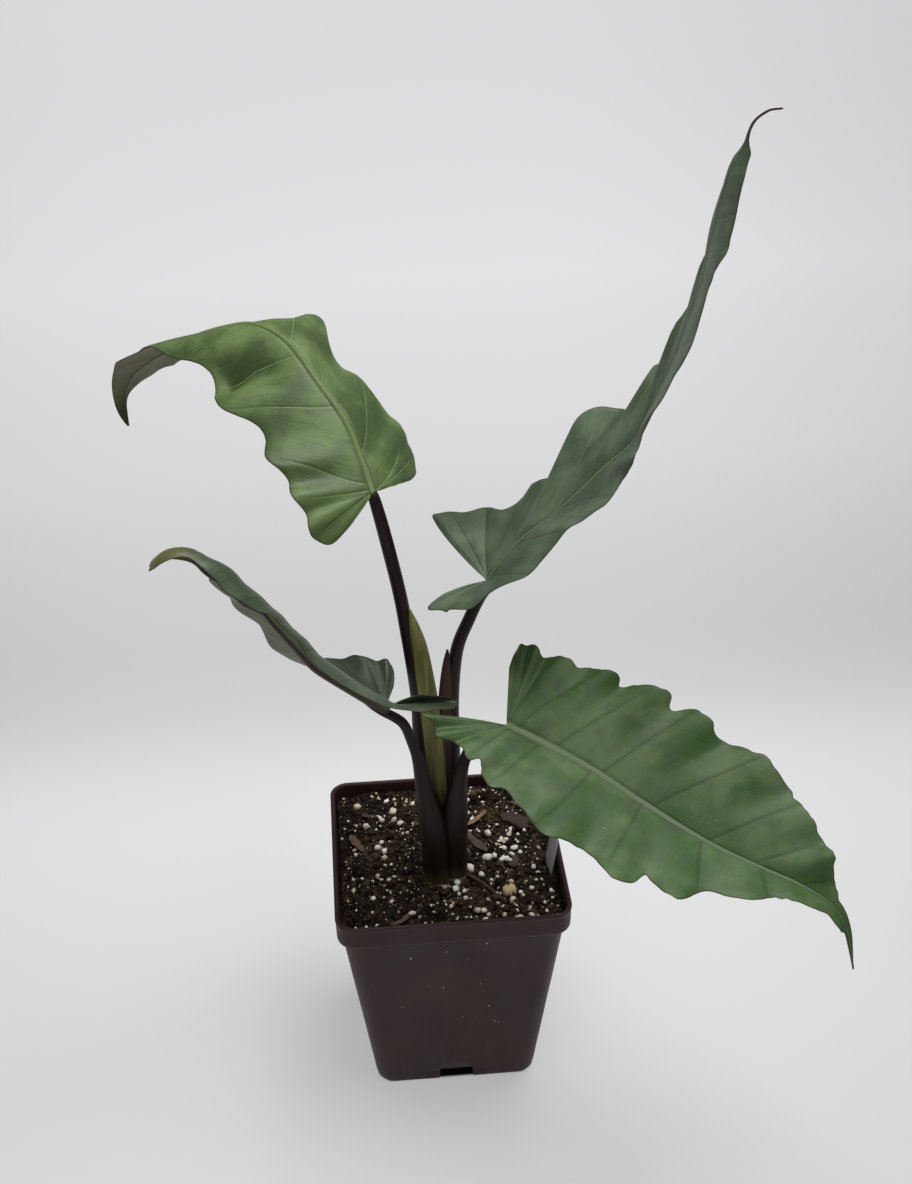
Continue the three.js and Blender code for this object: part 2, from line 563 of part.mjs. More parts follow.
// A shape with its clearance: itself and six copies shifted by the gap.
function roomFor(shape) {
  const shifts = [[1, 0, 0], [0, 1, 0], [0, 0, 1]].flatMap((d) => [d, d.map((v) => -v)]);
  return shifts.reduce((sum, d) => sum.add(shape.translate(d.map((v) => v * gap))), shape);
}

function makeTag(grow) {
  const half = tagWidth / 2 + grow;
  const outline = new THREE.Shape();
  outline.moveTo(-0.6 - grow, tagBottom - grow);
  outline.lineTo(0.6 + grow, tagBottom - grow);
  outline.lineTo(half, tagBottom + tagPoint);
  outline.lineTo(half, tagTop - 2);
  outline.lineTo(half - 2, tagTop);
  outline.lineTo(2 - half, tagTop);
  outline.lineTo(-half, tagTop - 2);
  outline.lineTo(-half, tagBottom + tagPoint);
  const geometry = new THREE.ExtrudeGeometry(outline, { depth: tagThick + 2 * grow, bevelEnabled: false });
  geometry.translate(0, 0, -tagThick / 2 - grow);
  geometry.rotateX(Math.PI / 2);
  geometry.rotateZ((90 + tagTurn) * degrees);
  const position = geometry.getAttribute('position');
  for (let i = 0; i < position.count; i += 1) {
    const rise = position.getZ(i) - tagBottom;
    position.setX(i, position.getX(i) + tagFoot[0] + tagLean * rise);
    position.setY(i, position.getY(i) + tagFoot[1]);
  }
  return solidOf(geometry);
}

const names = ['upper_left', 'tall_right', 'lower_left', 'lower_right'];
const plant = new THREE.Group();
plant.name = 'potted_alocasia_lauterbachiana';

const stemShapes = {};
const bladeShapes = {};
const stemRooms = [];
for (const name of names) {
  bladeShapes[name] = makeBlade(name);
  let stem = makeStem(name, 0).subtract(roomFor(bladeShapes[name]));
  for (const room of stemRooms) stem = stem.subtract(room);
  stemShapes[name] = largest(stem);
  stemRooms.push(makeStem(name, gap));
}

let soil = makeSoil().subtract(makeCorm(gap)).subtract(makeTag(gap));
for (const room of stemRooms) soil = soil.subtract(room);

plant.add(meshOf('pot', makePot(), 0x33262a, 0.5));
plant.add(meshOf('soil', largest(soil), 0x2a211b, 0.95));
plant.add(meshOf('corm', makeCorm(0), 0x6b4a33, 0.8));
plant.add(meshOf('label', makeTag(0), 0xf0f0ec, 0.35));
for (const name of names) {
  plant.add(meshOf(`petiole_${name}`, stemShapes[name], 0x33222a, 0.45));
  plant.add(meshOf(`blade_${name}`, bladeShapes[name], 0x4a6b3c, 0.5));
}

export default plant;
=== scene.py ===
"""Potted alocasia lauterbachiana: four arrow-shaped, wavy leaves on dark stems in a square nursery pot.

Metres, +Z up, -Y toward the camera, origin at the centre of the pot's underside. Sizes that follow the
part's source are written in millimetres and multiplied by mm.
"""
import math

import bmesh
import bpy
import numpy as np
from mathutils import Matrix, Vector


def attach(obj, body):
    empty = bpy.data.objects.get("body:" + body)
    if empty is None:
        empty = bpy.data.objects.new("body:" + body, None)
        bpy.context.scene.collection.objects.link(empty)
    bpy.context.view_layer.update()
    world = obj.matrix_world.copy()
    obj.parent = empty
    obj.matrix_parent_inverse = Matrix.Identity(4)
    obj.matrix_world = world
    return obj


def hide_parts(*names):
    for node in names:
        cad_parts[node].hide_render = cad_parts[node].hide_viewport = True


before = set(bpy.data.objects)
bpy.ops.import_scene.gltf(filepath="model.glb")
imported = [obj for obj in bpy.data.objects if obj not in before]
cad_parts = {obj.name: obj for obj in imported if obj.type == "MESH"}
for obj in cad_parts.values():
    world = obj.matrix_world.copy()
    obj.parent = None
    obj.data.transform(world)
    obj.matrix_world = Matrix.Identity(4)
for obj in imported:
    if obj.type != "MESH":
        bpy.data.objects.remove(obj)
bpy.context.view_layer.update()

mm = 0.001

# Camera: it stands in front of the plant, higher than its tallest leaf, looks down at the pot and leans a
# little to the right. The lens is the one that gives the pot's edges their slant.
camera_place = (-0.0406, -0.6408, 0.6575)
camera_turn = math.radians(-4.28)
camera_dip = math.radians(31.56)
camera_roll = math.radians(-1.11)
camera_lens = 51.69


def aim(turn, dip, roll):
    """Right, up and back of a camera turned about Z, dipped below the level and rolled about its own view."""
    ahead = Vector((-math.sin(turn) * math.cos(dip), math.cos(turn) * math.cos(dip), -math.sin(dip)))
    level = Vector((math.cos(turn), math.sin(turn), 0))
    upright = level.cross(ahead)
    right = math.cos(roll) * level + math.sin(roll) * upright
    up = math.cos(roll) * upright - math.sin(roll) * level
    return right, up, -ahead


lens = bpy.data.cameras.new("camera")
lens.lens = camera_lens
lens.sensor_width = 36
lens.clip_end = 20
camera = bpy.data.objects.new("camera", lens)
bpy.context.collection.objects.link(camera)
camera_axes = Matrix(aim(camera_turn, camera_dip, camera_roll)).transposed()
camera.matrix_world = Matrix.Translation(camera_place) @ camera_axes.to_4x4()
bpy.context.scene.camera = camera
bpy.context.scene.view_settings.view_transform = "Standard"

# Studio: a wide pale floor that runs out of the picture, a big soft lamp over the plant, a weaker one in front
# and pale air all round. The floor glows with its own grey as painted light, and carries painted light falloff
# and a painted shadow under the pot.
floor_size = 8.0
# Grey of the paper with painted light falloff, a darker band behind the pot and a brighter far end, from half a
# metre in front of the pot to two and a half metres behind it: [place, grey].
paper_and_light_bands = [[0.0, 0.36], [0.2, 0.385], [0.235, 0.38], [0.262, 0.3], [0.3, 0.285], [0.38, 0.355], [0.52, 0.415],
               [1.0, 0.56]]
# Strength of the floor's glow: painted light that fills the shadows on it and lights the plant from below.
paper_glow = 0.95
lamps = {
    "overhead": {"place": (0.25, 0.15, 1.7), "aim": (0.0, 0.0, 0.2), "size": 1.1, "power": 29.0},
    "front": {"place": (-0.9, -1.5, 1.5), "aim": (0.0, 0.0, 0.2), "size": 1.6, "power": 5.0},
}
air_colour = (0.98, 0.985, 1.0)
air_strength = 0.26


def add(tree, kind, inputs=None, **settings):
    """A shader node; its inputs are numbers, colours or sockets, and its settings are its own properties."""
    made = tree.nodes.new("ShaderNode" + kind)
    for name, value in settings.items():
        setattr(made, name, value)
    for name, value in (inputs or {}).items():
        if isinstance(value, bpy.types.NodeSocket):
            tree.links.new(value, made.inputs[name])
        else:
            made.inputs[name].default_value = value
    return made


def rgb(red, green, blue):
    """A colour as the eye gives it, 0 to 255, turned into light: ((c + 0.055) / 1.055) ** 2.4."""
    return tuple(((c / 255 + 0.055) / 1.055) ** 2.4 for c in (red, green, blue)) + (1.0,)


def mixed(tree, factor, a, b, mode="MIX"):
    """Colour a turned into b by factor."""
    made = add(tree, "Mix", {0: factor, 6: a, 7: b}, data_type="RGBA", blend_type=mode)
    return made.outputs[2]


def spread(tree, value, low, high, start=0.0, end=1.0):
    """value between low and high, eased from start to end."""
    made = add(tree, "MapRange", {"Value": value, "From Min": low, "From Max": high, "To Min": start, "To Max": end},
               interpolation_type="SMOOTHSTEP")
    return made.outputs["Result"]


def sums(tree, kind, a, b=0.0):
    """Arithmetic on two numbers or sockets."""
    return add(tree, "Math", {0: a, 1: b}, operation=kind).outputs[0]


def noise(tree, where, scale, detail=3.0, roughness=0.5, stretch=(1, 1, 1)):
    """Smooth random values 0 to 1 at a place, finer with scale, drawn out by stretch."""
    place = where
    if stretch != (1, 1, 1):
        place = add(tree, "Mapping", {"Vector": where, "Scale": stretch}).outputs[0]
    return add(tree, "TexNoise", {"Vector": place, "Scale": scale, "Detail": detail, "Roughness": roughness}).outputs[0]


def finish_of(name):
    """A new material: its nodes, its shader and its object coordinates."""
    made = bpy.data.materials.new(name)
    made.use_nodes = True
    tree = made.node_tree
    shader = tree.nodes["Principled BSDF"]
    where = add(tree, "TexCoord").outputs["Object"]
    return made, tree, shader, where


def plug(tree, shader, **sockets):
    """Links colour, roughness and height to the shader."""
    if "colour" in sockets:
        tree.links.new(sockets["colour"], shader.inputs["Base Color"])
    if "roughness" in sockets:
        tree.links.new(sockets["roughness"], shader.inputs["Roughness"])
    if "height" in sockets:
        bump = add(tree, "Bump", {"Height": sockets["height"], "Strength": sockets.get("strength", 0.5),
                                  "Distance": sockets.get("depth", 0.2 * mm)})
        tree.links.new(bump.outputs[0], shader.inputs["Normal"])


def build(name, points, *face_sets, smooth=True):
    """A mesh object from places and arrays of faces, each face a row of place numbers."""
    mesh = bpy.data.meshes.new(name)
    sets = [np.asarray(faces) for faces in face_sets if len(faces)]
    corners = np.concatenate([faces.ravel() for faces in sets])
    sizes = np.concatenate([np.full(len(faces), faces.shape[1]) for faces in sets])
    mesh.vertices.add(len(points))
    mesh.vertices.foreach_set("co", np.ascontiguousarray(points, dtype=np.float32).ravel())
    mesh.loops.add(len(corners))
    mesh.loops.foreach_set("vertex_index", corners.astype(np.int32))
    mesh.polygons.add(len(sizes))
    mesh.polygons.foreach_set("loop_start", (np.cumsum(sizes) - sizes).astype(np.int32))
    mesh.update(calc_edges=True)
    mesh.polygons.foreach_set("use_smooth", np.full(len(sizes), smooth))
    mesh.validate()
    made = bpy.data.objects.new(name, mesh)
    bpy.context.collection.objects.link(made)
    return made


floor = build("floor", np.array([[-1, -1, 0], [1, -1, 0], [1, 1, 0], [-1, 1, 0]]) * floor_size / 2, [[0, 1, 2, 3]])
floor_skin, tree, shader, where = finish_of("floor_paper_painted_glow")
sides = add(tree, "SeparateXYZ", {0: where})
bands = add(tree, "ValToRGB", {0: sums(tree, "DIVIDE", sums(tree, "ADD", sides.outputs[1], 0.5), 3.0)})
ramp = bands.color_ramp
ramp.interpolation = "B_SPLINE"
for place, grey in paper_and_light_bands[1:-1]:
    ramp.elements.new(place)
for element, (place, grey) in zip(ramp.elements, paper_and_light_bands):
    element.position = place
    element.color = (grey, grey, grey * 1.01, 1)
# Darker toward the sides: painted light falloff.
outward = sums(tree, "ABSOLUTE", sums(tree, "SUBTRACT", sides.outputs[0], -0.03))
wide = add(tree, "Math", {0: sides.outputs[1], 1: 0.36, 2: 0.27}, operation="MULTIPLY_ADD").outputs[0]
corner = spread(tree, sums(tree, "DIVIDE", outward, wide), 0.3, 1.3, 1.0, 0.86)
glow = mixed(tree, 1.0, bands.outputs[0], add(tree, "CombineColor", {0: corner, 1: corner, 2: corner}).outputs[0],
             "MULTIPLY")
# Under the pot's foot the floor is painted near black and does not glow: a painted contact shadow.
under_pot = add(tree, "VectorMath", {0: where}, operation="ABSOLUTE").outputs[0]
under_pot = add(tree, "SeparateXYZ", {0: under_pot})
slant = sums(tree, "MULTIPLY", sums(tree, "ADD", under_pot.outputs[0], under_pot.outputs[1]), 0.536)
square = sums(tree, "MAXIMUM", under_pot.outputs[0], under_pot.outputs[1])
clear_of_painted_shadow = spread(tree, sums(tree, "MAXIMUM", square, slant), 0.0375, 0.0395)
plug(tree, shader, colour=mixed(tree, clear_of_painted_shadow, rgb(26, 22, 20), glow))
# The paper's grey also glows: painted light.
tree.links.new(glow, shader.inputs["Emission Color"])
tree.links.new(sums(tree, "MULTIPLY", clear_of_painted_shadow, paper_glow), shader.inputs["Emission Strength"])
shader.inputs["Roughness"].default_value = 0.8
shader.inputs["Specular IOR Level"].default_value = 0.1
floor.data.materials.append(floor_skin)

for name, values in lamps.items():
    light = bpy.data.lights.new(name, "AREA")
    light.size = values["size"]
    light.energy = values["power"]
    lamp = bpy.data.objects.new(name, light)
    bpy.context.collection.objects.link(lamp)
    lamp.location = values["place"]
    lamp.rotation_euler = (Vector(values["place"]) - Vector(values["aim"])).to_track_quat("Z", "Y").to_euler()
air = bpy.data.worlds.new("air")
air.use_nodes = True
air.node_tree.nodes["Background"].inputs[0].default_value = air_colour + (1.0,)
air.node_tree.nodes["Background"].inputs[1].default_value = air_strength
bpy.context.scene.world = air

# Pot: a square nursery pot, injection moulded in dark brown plastic with thin tapered walls, a stepped band and
# a rolled lip, four notches at the foot with a drain hole behind each, and a few pale specks stuck to it.
pot_height = 118.0
rim_half = 55.0
foot_half = 39.5
pot_corner = 9.0
notch_half = 8.25
notch_height = 7.0
pad_half = 15.5
pad_height = 4.3
drain_radius = 3.0
drain_reach = 31.5
pot_sides = (-24, -15.7, -15.3, -12, -8.5, -8.0, -4, 0, 4, 8.0, 8.5, 12, 15.3, 15.7, 24)
# From the underside, over the lip and down the inside: [half width, height, corner radius]. The first foot_rows
# are the underside, and the rest of the first wall_rows the outside of the wall below the band.
foot_rows = 6
wall_rows = 16
pot_profile = [
    [26.2, 0, 1.6], [26.8, 0, 2.2], [32, 0, 6.5], [37.6, 0, 7.6], [38.6, 0.1, 8.2], [39.2, 0.45, 8.8],
    [foot_half, 1.0, pot_corner], [39.7, 2.2, pot_corner], [39.9, 3.4, pot_corner], [40.1, 4.6, pot_corner],
    [40.4, 7, pot_corner], [41.2, 14, pot_corner], [43.3, 31, pot_corner], [45.6, 50, pot_corner],
    [48.1, 70, pot_corner], [50.5, 90, pot_corner], [52.3, 104.4, pot_corner], [52.5, 105.2, pot_corner],
    [53, 105.6, pot_corner], [54, 105.7, pot_corner], [54.6, 105.9, pot_corner], [54.85, 106.7, pot_corner],
    [54.9, 108, pot_corner], [rim_half, 112, pot_corner], [rim_half, 115.6, pot_corner],
    [55.1, 116.3, pot_corner], [55.3, 116.8, 9.2], [55.35, 117.3, 9.2], [55.15, 117.75, pot_corner],
    [54.7, pot_height, 8.6], [54.1, pot_height, 8.1], [53.6, 117.8, 7.7], [53.2, 117.3, 7.4],
    [53.05, 116.4, 7.3], [52.9, 112, 7.4], [52.2, 107.4, 7.5], [50.8, 103, 7.6], [39.4, 8.1, 7.4],
    [30, 8.1, 5],
]
# Pale specks on the front: [across, up, radius].
specks = [[-21, 94, 0.5], [-4, 97, 0.3], [15, 101, 0.4], [-6, 71, 0.35], [-26, 59, 0.3], [16, 55, 0.4],
          [3, 48, 0.25], [19, 43, 0.35], [21, 42, 0.25], [12, 72, 0.25], [-13, 73, 0.2], [6, 91, 0.2]]


def squares(profile, sides, per_corner):
    """Rounded squares, one for each row [half, height, corner]: on each side the points half out and at sides
    along it, then an arc of the corner radius; four times, each a quarter turn on. Returns (rows, around, 3) and
    each point's place along its side, which is 1000 or more on the arcs."""
    half, height, corner = (np.asarray(profile, float)[:, k][:, None] for k in range(3))
    flat = np.asarray(sides, float)[None, :]
    arc = np.linspace(0, np.pi / 2, per_corner)[None, :]
    out = np.hstack([half + 0 * flat, half - corner + corner * np.cos(arc)])
    along = np.hstack([flat + 0 * half, half - corner + corner * np.sin(arc)])
    place = np.hstack([flat + 0 * half, 1e3 + 0 * half * arc])
    rings = []
    for quarter in range(4):
        c, s = math.cos(quarter * math.pi / 2), math.sin(quarter * math.pi / 2)
        rings.append(np.stack([out * c - along * s, out * s + along * c, height + 0 * out], axis=-1))
    return np.concatenate(rings, axis=1), np.tile(place, (1, 4))


def ease(low, high, value):
    """0 below low and 1 above high, with 3t^2 - 2t^3 between."""
    t = np.clip((value - low) / (high - low), 0, 1)
    return t * t * (3 - 2 * t)


def skin(rings, around=True):
    """Faces over rings (count, around, 3): quads between neighbours and a fan to the middle of each end."""
    count, n = rings.shape[:2]
    grid = np.arange(count * n).reshape(count, n)
    near, far = grid[:-1], grid[1:]
    quads = np.stack([near, np.roll(near, -1, 1), np.roll(far, -1, 1), far], axis=-1).reshape(-1, 4)
    points = np.vstack([rings.reshape(-1, 3), rings[0].mean(0), rings[-1].mean(0)])
    first, last = grid[0], grid[-1]
    caps = np.vstack([
        np.stack([np.roll(first, -1), first, np.full(n, count * n)], axis=-1),
        np.stack([last, np.roll(last, -1), np.full(n, count * n + 1)], axis=-1),
    ])
    return points, quads, caps


rings, place = squares(pot_profile, pot_sides, 12)
half = np.array(pot_profile)[:, 0][:, None]
height = rings[..., 2]
row_number = np.arange(len(half))[:, None]
in_notch = ease(notch_half + 0.2, notch_half - 0.2, np.abs(place)) * ease(26.3, 26.8, half)
in_notch = in_notch * (row_number < wall_rows)
lifted = height + notch_height * in_notch * np.clip(1 - height / 9, 0, 1)
on_pad = ease(pad_half + 0.15, pad_half - 0.15, np.abs(place)) * ease(pad_height + 0.3, pad_height - 0.3, height)
outside = (row_number >= foot_rows) & (row_number < wall_rows)
grown = 1 + 0.3 * on_pad * outside / half
rings[..., 0] *= grown
rings[..., 1] *= grown
rings[..., 2] = np.where(row_number < wall_rows, lifted, height)
pot = build("pot_shell", mm * skin(rings)[0], *skin(rings)[1:])

drills = bmesh.new()
for quarter in range(4):
    turn = quarter * math.pi / 2
    spot = Matrix.Translation((mm * drain_reach * math.cos(turn), mm * drain_reach * math.sin(turn), 4 * mm))
    bmesh.ops.create_cone(drills, cap_ends=True, segments=28, radius1=drain_radius * mm,
                          radius2=drain_radius * mm, depth=11 * mm, matrix=spot)
drill_mesh = bpy.data.meshes.new("drills")
drills.to_mesh(drill_mesh)
drills.free()
drill = bpy.data.objects.new("drills", drill_mesh)
bpy.context.collection.objects.link(drill)
cut = pot.modifiers.new("drains", "BOOLEAN")
cut.operation = "DIFFERENCE"
cut.solver = "EXACT"
cut.object = drill
with bpy.context.temp_override(object=pot, active_object=pot, selected_objects=[pot]):
    bpy.ops.object.modifier_apply(modifier=cut.name)
bpy.data.objects.remove(drill)

pot_plastic, tree, shader, where = finish_of("pot_plastic")
cloud = noise(tree, where, 28, 4)
grain = noise(tree, where, 900, 2)
scuff = noise(tree, where, 60, 6, 0.65, (1, 1, 0.25))
tone = mixed(tree, spread(tree, cloud, 0.3, 0.7), rgb(42, 21, 20), rgb(51, 28, 26))
tone = mixed(tree, spread(tree, scuff, 0.56, 0.75, 0, 0.25), tone, rgb(76, 58, 56))
front = add(tree, "SeparateXYZ", {0: where})
for across, up, size in specks:
    off = add(tree, "CombineXYZ", {0: sums(tree, "SUBTRACT", front.outputs[0], across * mm),
                                   1: sums(tree, "SUBTRACT", front.outputs[2], up * mm),
                                   2: sums(tree, "MAXIMUM", front.outputs[1], 0.0)}).outputs[0]
    far = add(tree, "VectorMath", {0: off}, operation="LENGTH").outputs["Value"]
    tone = mixed(tree, spread(tree, far, size * 1.1 * mm, size * 0.7 * mm), tone, rgb(190, 178, 168))
plug(tree, shader, colour=tone, roughness=spread(tree, scuff, 0.3, 0.75, 0.44, 0.6), height=grain, strength=0.25,
     depth=0.05 * mm)
shader.inputs["Specular IOR Level"].default_value = 0.3
pot.data.materials.append(pot_plastic)
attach(pot, "root")
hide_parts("pot")

# Soil: a damp, dark mix of peat and bark fines, filled to about 10 mm below the lip. It rises a little toward the
# back wall and is mounded at the stems. Loose crumbs, fibres, perlite, bark and twigs lie on it.
soil_top = 108.2
soil_half = 52.0
soil_foot = 38.8
soil_floor = 8.3
soil_slope = 3.4
soil_mound = 1.4
soil_steps = 121


def lattice_noise(x, y, spacing, seed):
    """Random heights 0 to 1 on a square lattice, eased between its points with 3t^2 - 2t^3."""
    table = np.random.default_rng(seed).random((97, 97))
    a, b = x / spacing + 300.5, y / spacing + 300.5
    i, j = np.floor(a).astype(int), np.floor(b).astype(int)
    u, v = a - i, b - j
    u, v = u * u * (3 - 2 * u), v * v * (3 - 2 * v)
    i, j, p, q = i % 97, j % 97, (i + 1) % 97, (j + 1) % 97
    return (table[i, j] * (1 - u) + table[p, j] * u) * (1 - v) + (table[i, q] * (1 - u) + table[p, q] * u) * v


def soil_height(x, y):
    """Low swells, the mound round the stems and the rise toward the back wall, in mm."""
    swell = 0.9 * np.sin(x / 9 + 1) * np.cos(y / 11) + 0.5 * np.sin(x / 4.1 - y / 5.3)
    back = soil_slope * ease(0, 46, y) + 1.5 * ease(30, 48, x)
    return soil_top + swell + back + soil_mound * np.exp(-(x * x + (y + 9) ** 2) / 500)


def soil_surface(x, y):
    """soil_height with clods of 7, 3, 1.5 and 0.8 mm; the finer ones are sharp: 1 - |2n - 1|."""
    clods = 2.8 * (lattice_noise(x, y, 7, 5) - 0.5) + 2.4 * (lattice_noise(x, y, 3.1, 6) - 0.5)
    fine = 1.5 * (0.5 - np.abs(2 * lattice_noise(x, y, 1.6, 7) - 1)) + 0.8 * (lattice_noise(x, y, 0.8, 8) - 0.5)
    return soil_height(x, y) + clods + fine


def square_disc(steps, half, corner):
    """A square grid pulled into a rounded square: each ring of the grid is the outline scaled toward the middle."""
    span = np.linspace(-1, 1, steps)
    u, v = np.meshgrid(span, span, indexing="ij")
    reach = np.maximum(np.maximum(np.abs(u), np.abs(v)), 1e-9)
    edge = np.stack([u, v], -1) / reach[..., None] * half
    inner = half - corner
    past = np.maximum(np.abs(edge) - inner, 0)
    far = np.linalg.norm(past, axis=-1, keepdims=True)
    both = (past.min(-1, keepdims=True) > 0)
    rounded = np.sign(edge) * (inner + corner * past / np.maximum(far, 1e-9))
    return np.where(both, rounded, edge) * reach[..., None]


spots = square_disc(soil_steps * 2 - 1, soil_half, 7.4)
x, y = spots[..., 0], spots[..., 1]
top = np.stack([x, y, soil_surface(x, y)], -1)
n = top.shape[0]
grid = np.arange(n * n).reshape(n, n)
quads = np.stack([grid[:-1, :-1], grid[1:, :-1], grid[1:, 1:], grid[:-1, 1:]], -1).reshape(-1, 4)
rim = np.concatenate([grid[:-1, 0], grid[-1, :-1], grid[:0:-1, -1], grid[0, :0:-1]])
foot_scale = soil_foot / soil_half
foot = top.reshape(-1, 3)[rim] * (foot_scale, foot_scale, 0) + (0, 0, soil_floor)
below = n * n + np.arange(len(rim))
wall = np.stack([rim, below, np.roll(below, -1), np.roll(rim, -1)], -1)
middle = n * n + len(rim)
base = np.stack([below, np.full(len(rim), middle), np.roll(below, -1)], -1)
soil = build("soil_bed", mm * np.vstack([top.reshape(-1, 3), foot, [[0, 0, soil_floor]]]), quads, wall, base)

soil_mix, tree, shader, where = finish_of("soil_mix")
fine = noise(tree, where, 900, 5, 0.7)
coarse = noise(tree, where, 190, 4, 0.6)
earth = mixed(tree, spread(tree, coarse, 0.38, 0.66), rgb(5, 4, 3), rgb(50, 40, 32))
earth = mixed(tree, spread(tree, fine, 0.53, 0.7, 0, 0.85), earth, rgb(116, 90, 68))
patch = noise(tree, where, 60, 2, 0.6)
straw = sums(tree, "MULTIPLY", spread(tree, patch, 0.52, 0.66, 0, 0.6), spread(tree, fine, 0.48, 0.62))
earth = mixed(tree, straw, earth, rgb(120, 96, 66))
plug(tree, shader, colour=earth, roughness=spread(tree, fine, 0.3, 0.7, 0.75, 0.95), height=fine, strength=0.9,
     depth=0.5 * mm)
shader.inputs["Specular IOR Level"].default_value = 0.14
soil.data.materials.append(soil_mix)

grain_layers = {
    # name: [count, smallest, largest, power of the draw, share buried, flatness, seed, detail]
    "soil_crumbs": [900, 0.5, 1.9, 2.0, 0.35, 0.75, 31, 1],
    "soil_fines": [1700, 0.25, 0.75, 1.4, 0.2, 0.85, 32, 0],
    "perlite_small": [380, 0.3, 1.0, 2.0, 0.3, 0.9, 33, 1],
    "perlite_dust": [700, 0.12, 0.32, 1.2, 0.1, 0.9, 34, 0],
}
# Larger perlite grains: [x, y, radius]. The first 77 were placed by eye where the photo shows them, and a scratch
# program shifted them when the soil's rise was added. It scattered the last 25 over two dense patches.
perlite_places = [
    [-42, 41, 1.9], [-27, 44, 1.6], [-24, 34.5, 2], [-30, 30, 1.6], [-24, 29, 1.4], [-21, 26.5, 1.7],
    [-38, 27.5, 1.7], [-14, 40, 1.4], [-31, 15, 1.2], [-33, 11.5, 1.9], [-30, 9.5, 1.4], [-30, 5, 1.6],
    [-20, 20.5, 0.9], [-18, 21, 0.9], [-28, -28, 1.3], [-37, -25, 1.3], [-46, -17, 1.2], [-46, -10, 0.8],
    [-34, -8, 1.1], [-26, -10, 0.9], [-27, 0, 0.8], [-19, -38, 1.4], [-16, -40, 0.9], [-30, -20, 0.8],
    [14.5, 41, 1.2], [20.5, 43, 0.9], [13.5, 32.5, 1.3], [15, 28, 0.9], [27.5, 32, 0.9], [37, 14.5, 0.9],
    [31, 12.5, 1.2], [22, 16, 1.6], [26, 8.5, 0.8], [29, 6, 1.3], [35, 5.5, 1.1], [24, 1, 1.3], [27, -3, 1.6],
    [31, -3, 1.2], [20, -1, 2.4], [11, -9, 2.1], [9, -9, 1.1], [16, -14, 1.7], [4, -18, 1.4], [-2, -20, 1.7],
    [3, -22, 2], [7, -24, 1.1], [7, -29, 1.4], [1, -32, 0.7], [-3, -29, 0.6], [30, -19, 1.3], [28, -12, 1.1],
    [42, -10.5, 1.4], [39, -27, 1.3], [45, -24.5, 0.9], [48, -28.5, 1.1], [48, -33.5, 0.9], [29, -34, 1.7],
    [24, -37, 1.1], [12, -37, 1.3], [15, -37.5, 1.5], [17, -41, 1.4], [15, -44, 1.3], [10, -46, 1.2],
    [13, -46, 0.9], [24, -43, 1.2], [30, -41, 1.3], [31, -46, 1.9], [37, -44.5, 1.6], [44, -43.5, 1.2],
    [38, -36.5, 0.7], [46, 3.5, 0.9], [0, -39, 0.7], [2, -41, 0.6], [-41, -43, 0.8], [-47, 32, 0.7],
    [-31, 46.5, 0.9], [-23, 45.5, 1.1], [26.5, 8.5, 1.3], [33, 16, 1.3], [29.5, 11, 0.9], [22, 6.5, 0.7],
    [29.5, -2, 1.3], [32.5, 15.5, 0.9], [40.5, 16, 0.9], [28.5, 12.5, 1.3], [27, 11.5, 0.8], [28, -1, 1.1],
    [21, 8, 0.8], [34, 18.5, 1.3], [27.5, 6.5, 1.3], [33.5, 5.5, 1.3], [33, 1, 0.9], [26, 9, 1.1],
    [32, 2, 0.9], [29, -32, 0.8], [29, -34.5, 0.6], [44, -36.5, 0.8], [30.5, -37.5, 0.6], [30, -35.5, 1],
    [37, -31.5, 0.6], [30, -36.5, 0.8], [36.5, -39.5, 1],
]
stem_feet = [[-5, -13, 7.5], [4, -11, 7.5], [-4, -6, 7.5], [3, -4, 7]]


def ball(detail):
    """Places and triangles of a ball of 20 or 80 faces."""
    shape = bmesh.new()
    bmesh.ops.create_icosphere(shape, subdivisions=detail + 1, radius=1)
    shape.verts.ensure_lookup_table()
    points = np.array([v.co[:] for v in shape.verts])
    faces = np.array([[v.index for v in f.verts] for f in shape.faces])
    shape.free()
    return points, faces


def turns(rng, count):
    """Random turns as (count, 3, 3): from random unit quaternions."""
    q = rng.normal(size=(count, 4))
    w, a, b, c = (q / np.linalg.norm(q, axis=1, keepdims=True)).T
    return np.stack([
        1 - 2 * (b * b + c * c), 2 * (a * b - w * c), 2 * (a * c + w * b),
        2 * (a * b + w * c), 1 - 2 * (a * a + c * c), 2 * (b * c - w * a),
        2 * (a * c - w * b), 2 * (b * c + w * a), 1 - 2 * (a * a + b * b),
    ], -1).reshape(-1, 3, 3)


def grains(name, places, radii, flat, lumps, seed, detail):
    """Balls at places, each stretched along its own random axes, with its points pushed in and out at random."""
    rng = np.random.default_rng(seed)
    points, faces = ball(detail)
    count = len(places)
    axes = radii[:, None] * rng.uniform(0.72, 1.25, (count, 3))
    shape = points[None] * (1 + lumps * (rng.random((count, len(points), 1)) - 0.5)) * axes[:, None]
    shape = np.einsum("nij,nkj->nki", turns(rng, count), shape)
    shape[..., 2] *= flat
    shape += places[:, None]
    every = faces[None] + (np.arange(count) * len(points))[:, None, None]
    made = build(name, mm * shape.reshape(-1, 3), every.reshape(-1, 3))
    tint = made.data.attributes.new("tint", "FLOAT", "POINT")
    tint.data.foreach_set("value", np.repeat(rng.random(count), len(points)).astype(np.float32))
    return made


def strewn(count, seed, smallest, largest, power):
    """Random places on the soil clear of the stems, with radii drawn by a power of a random number."""
    rng = np.random.default_rng(seed)
    spots = rng.uniform(-50.5, 50.5, (count * 2, 2))
    clear = np.all([np.hypot(spots[:, 0] - x, spots[:, 1] - y) > r for x, y, r in stem_feet], axis=0)
    spots = spots[clear][:count]
    radii = smallest + (largest - smallest) * rng.random(len(spots)) ** power
    return spots, radii


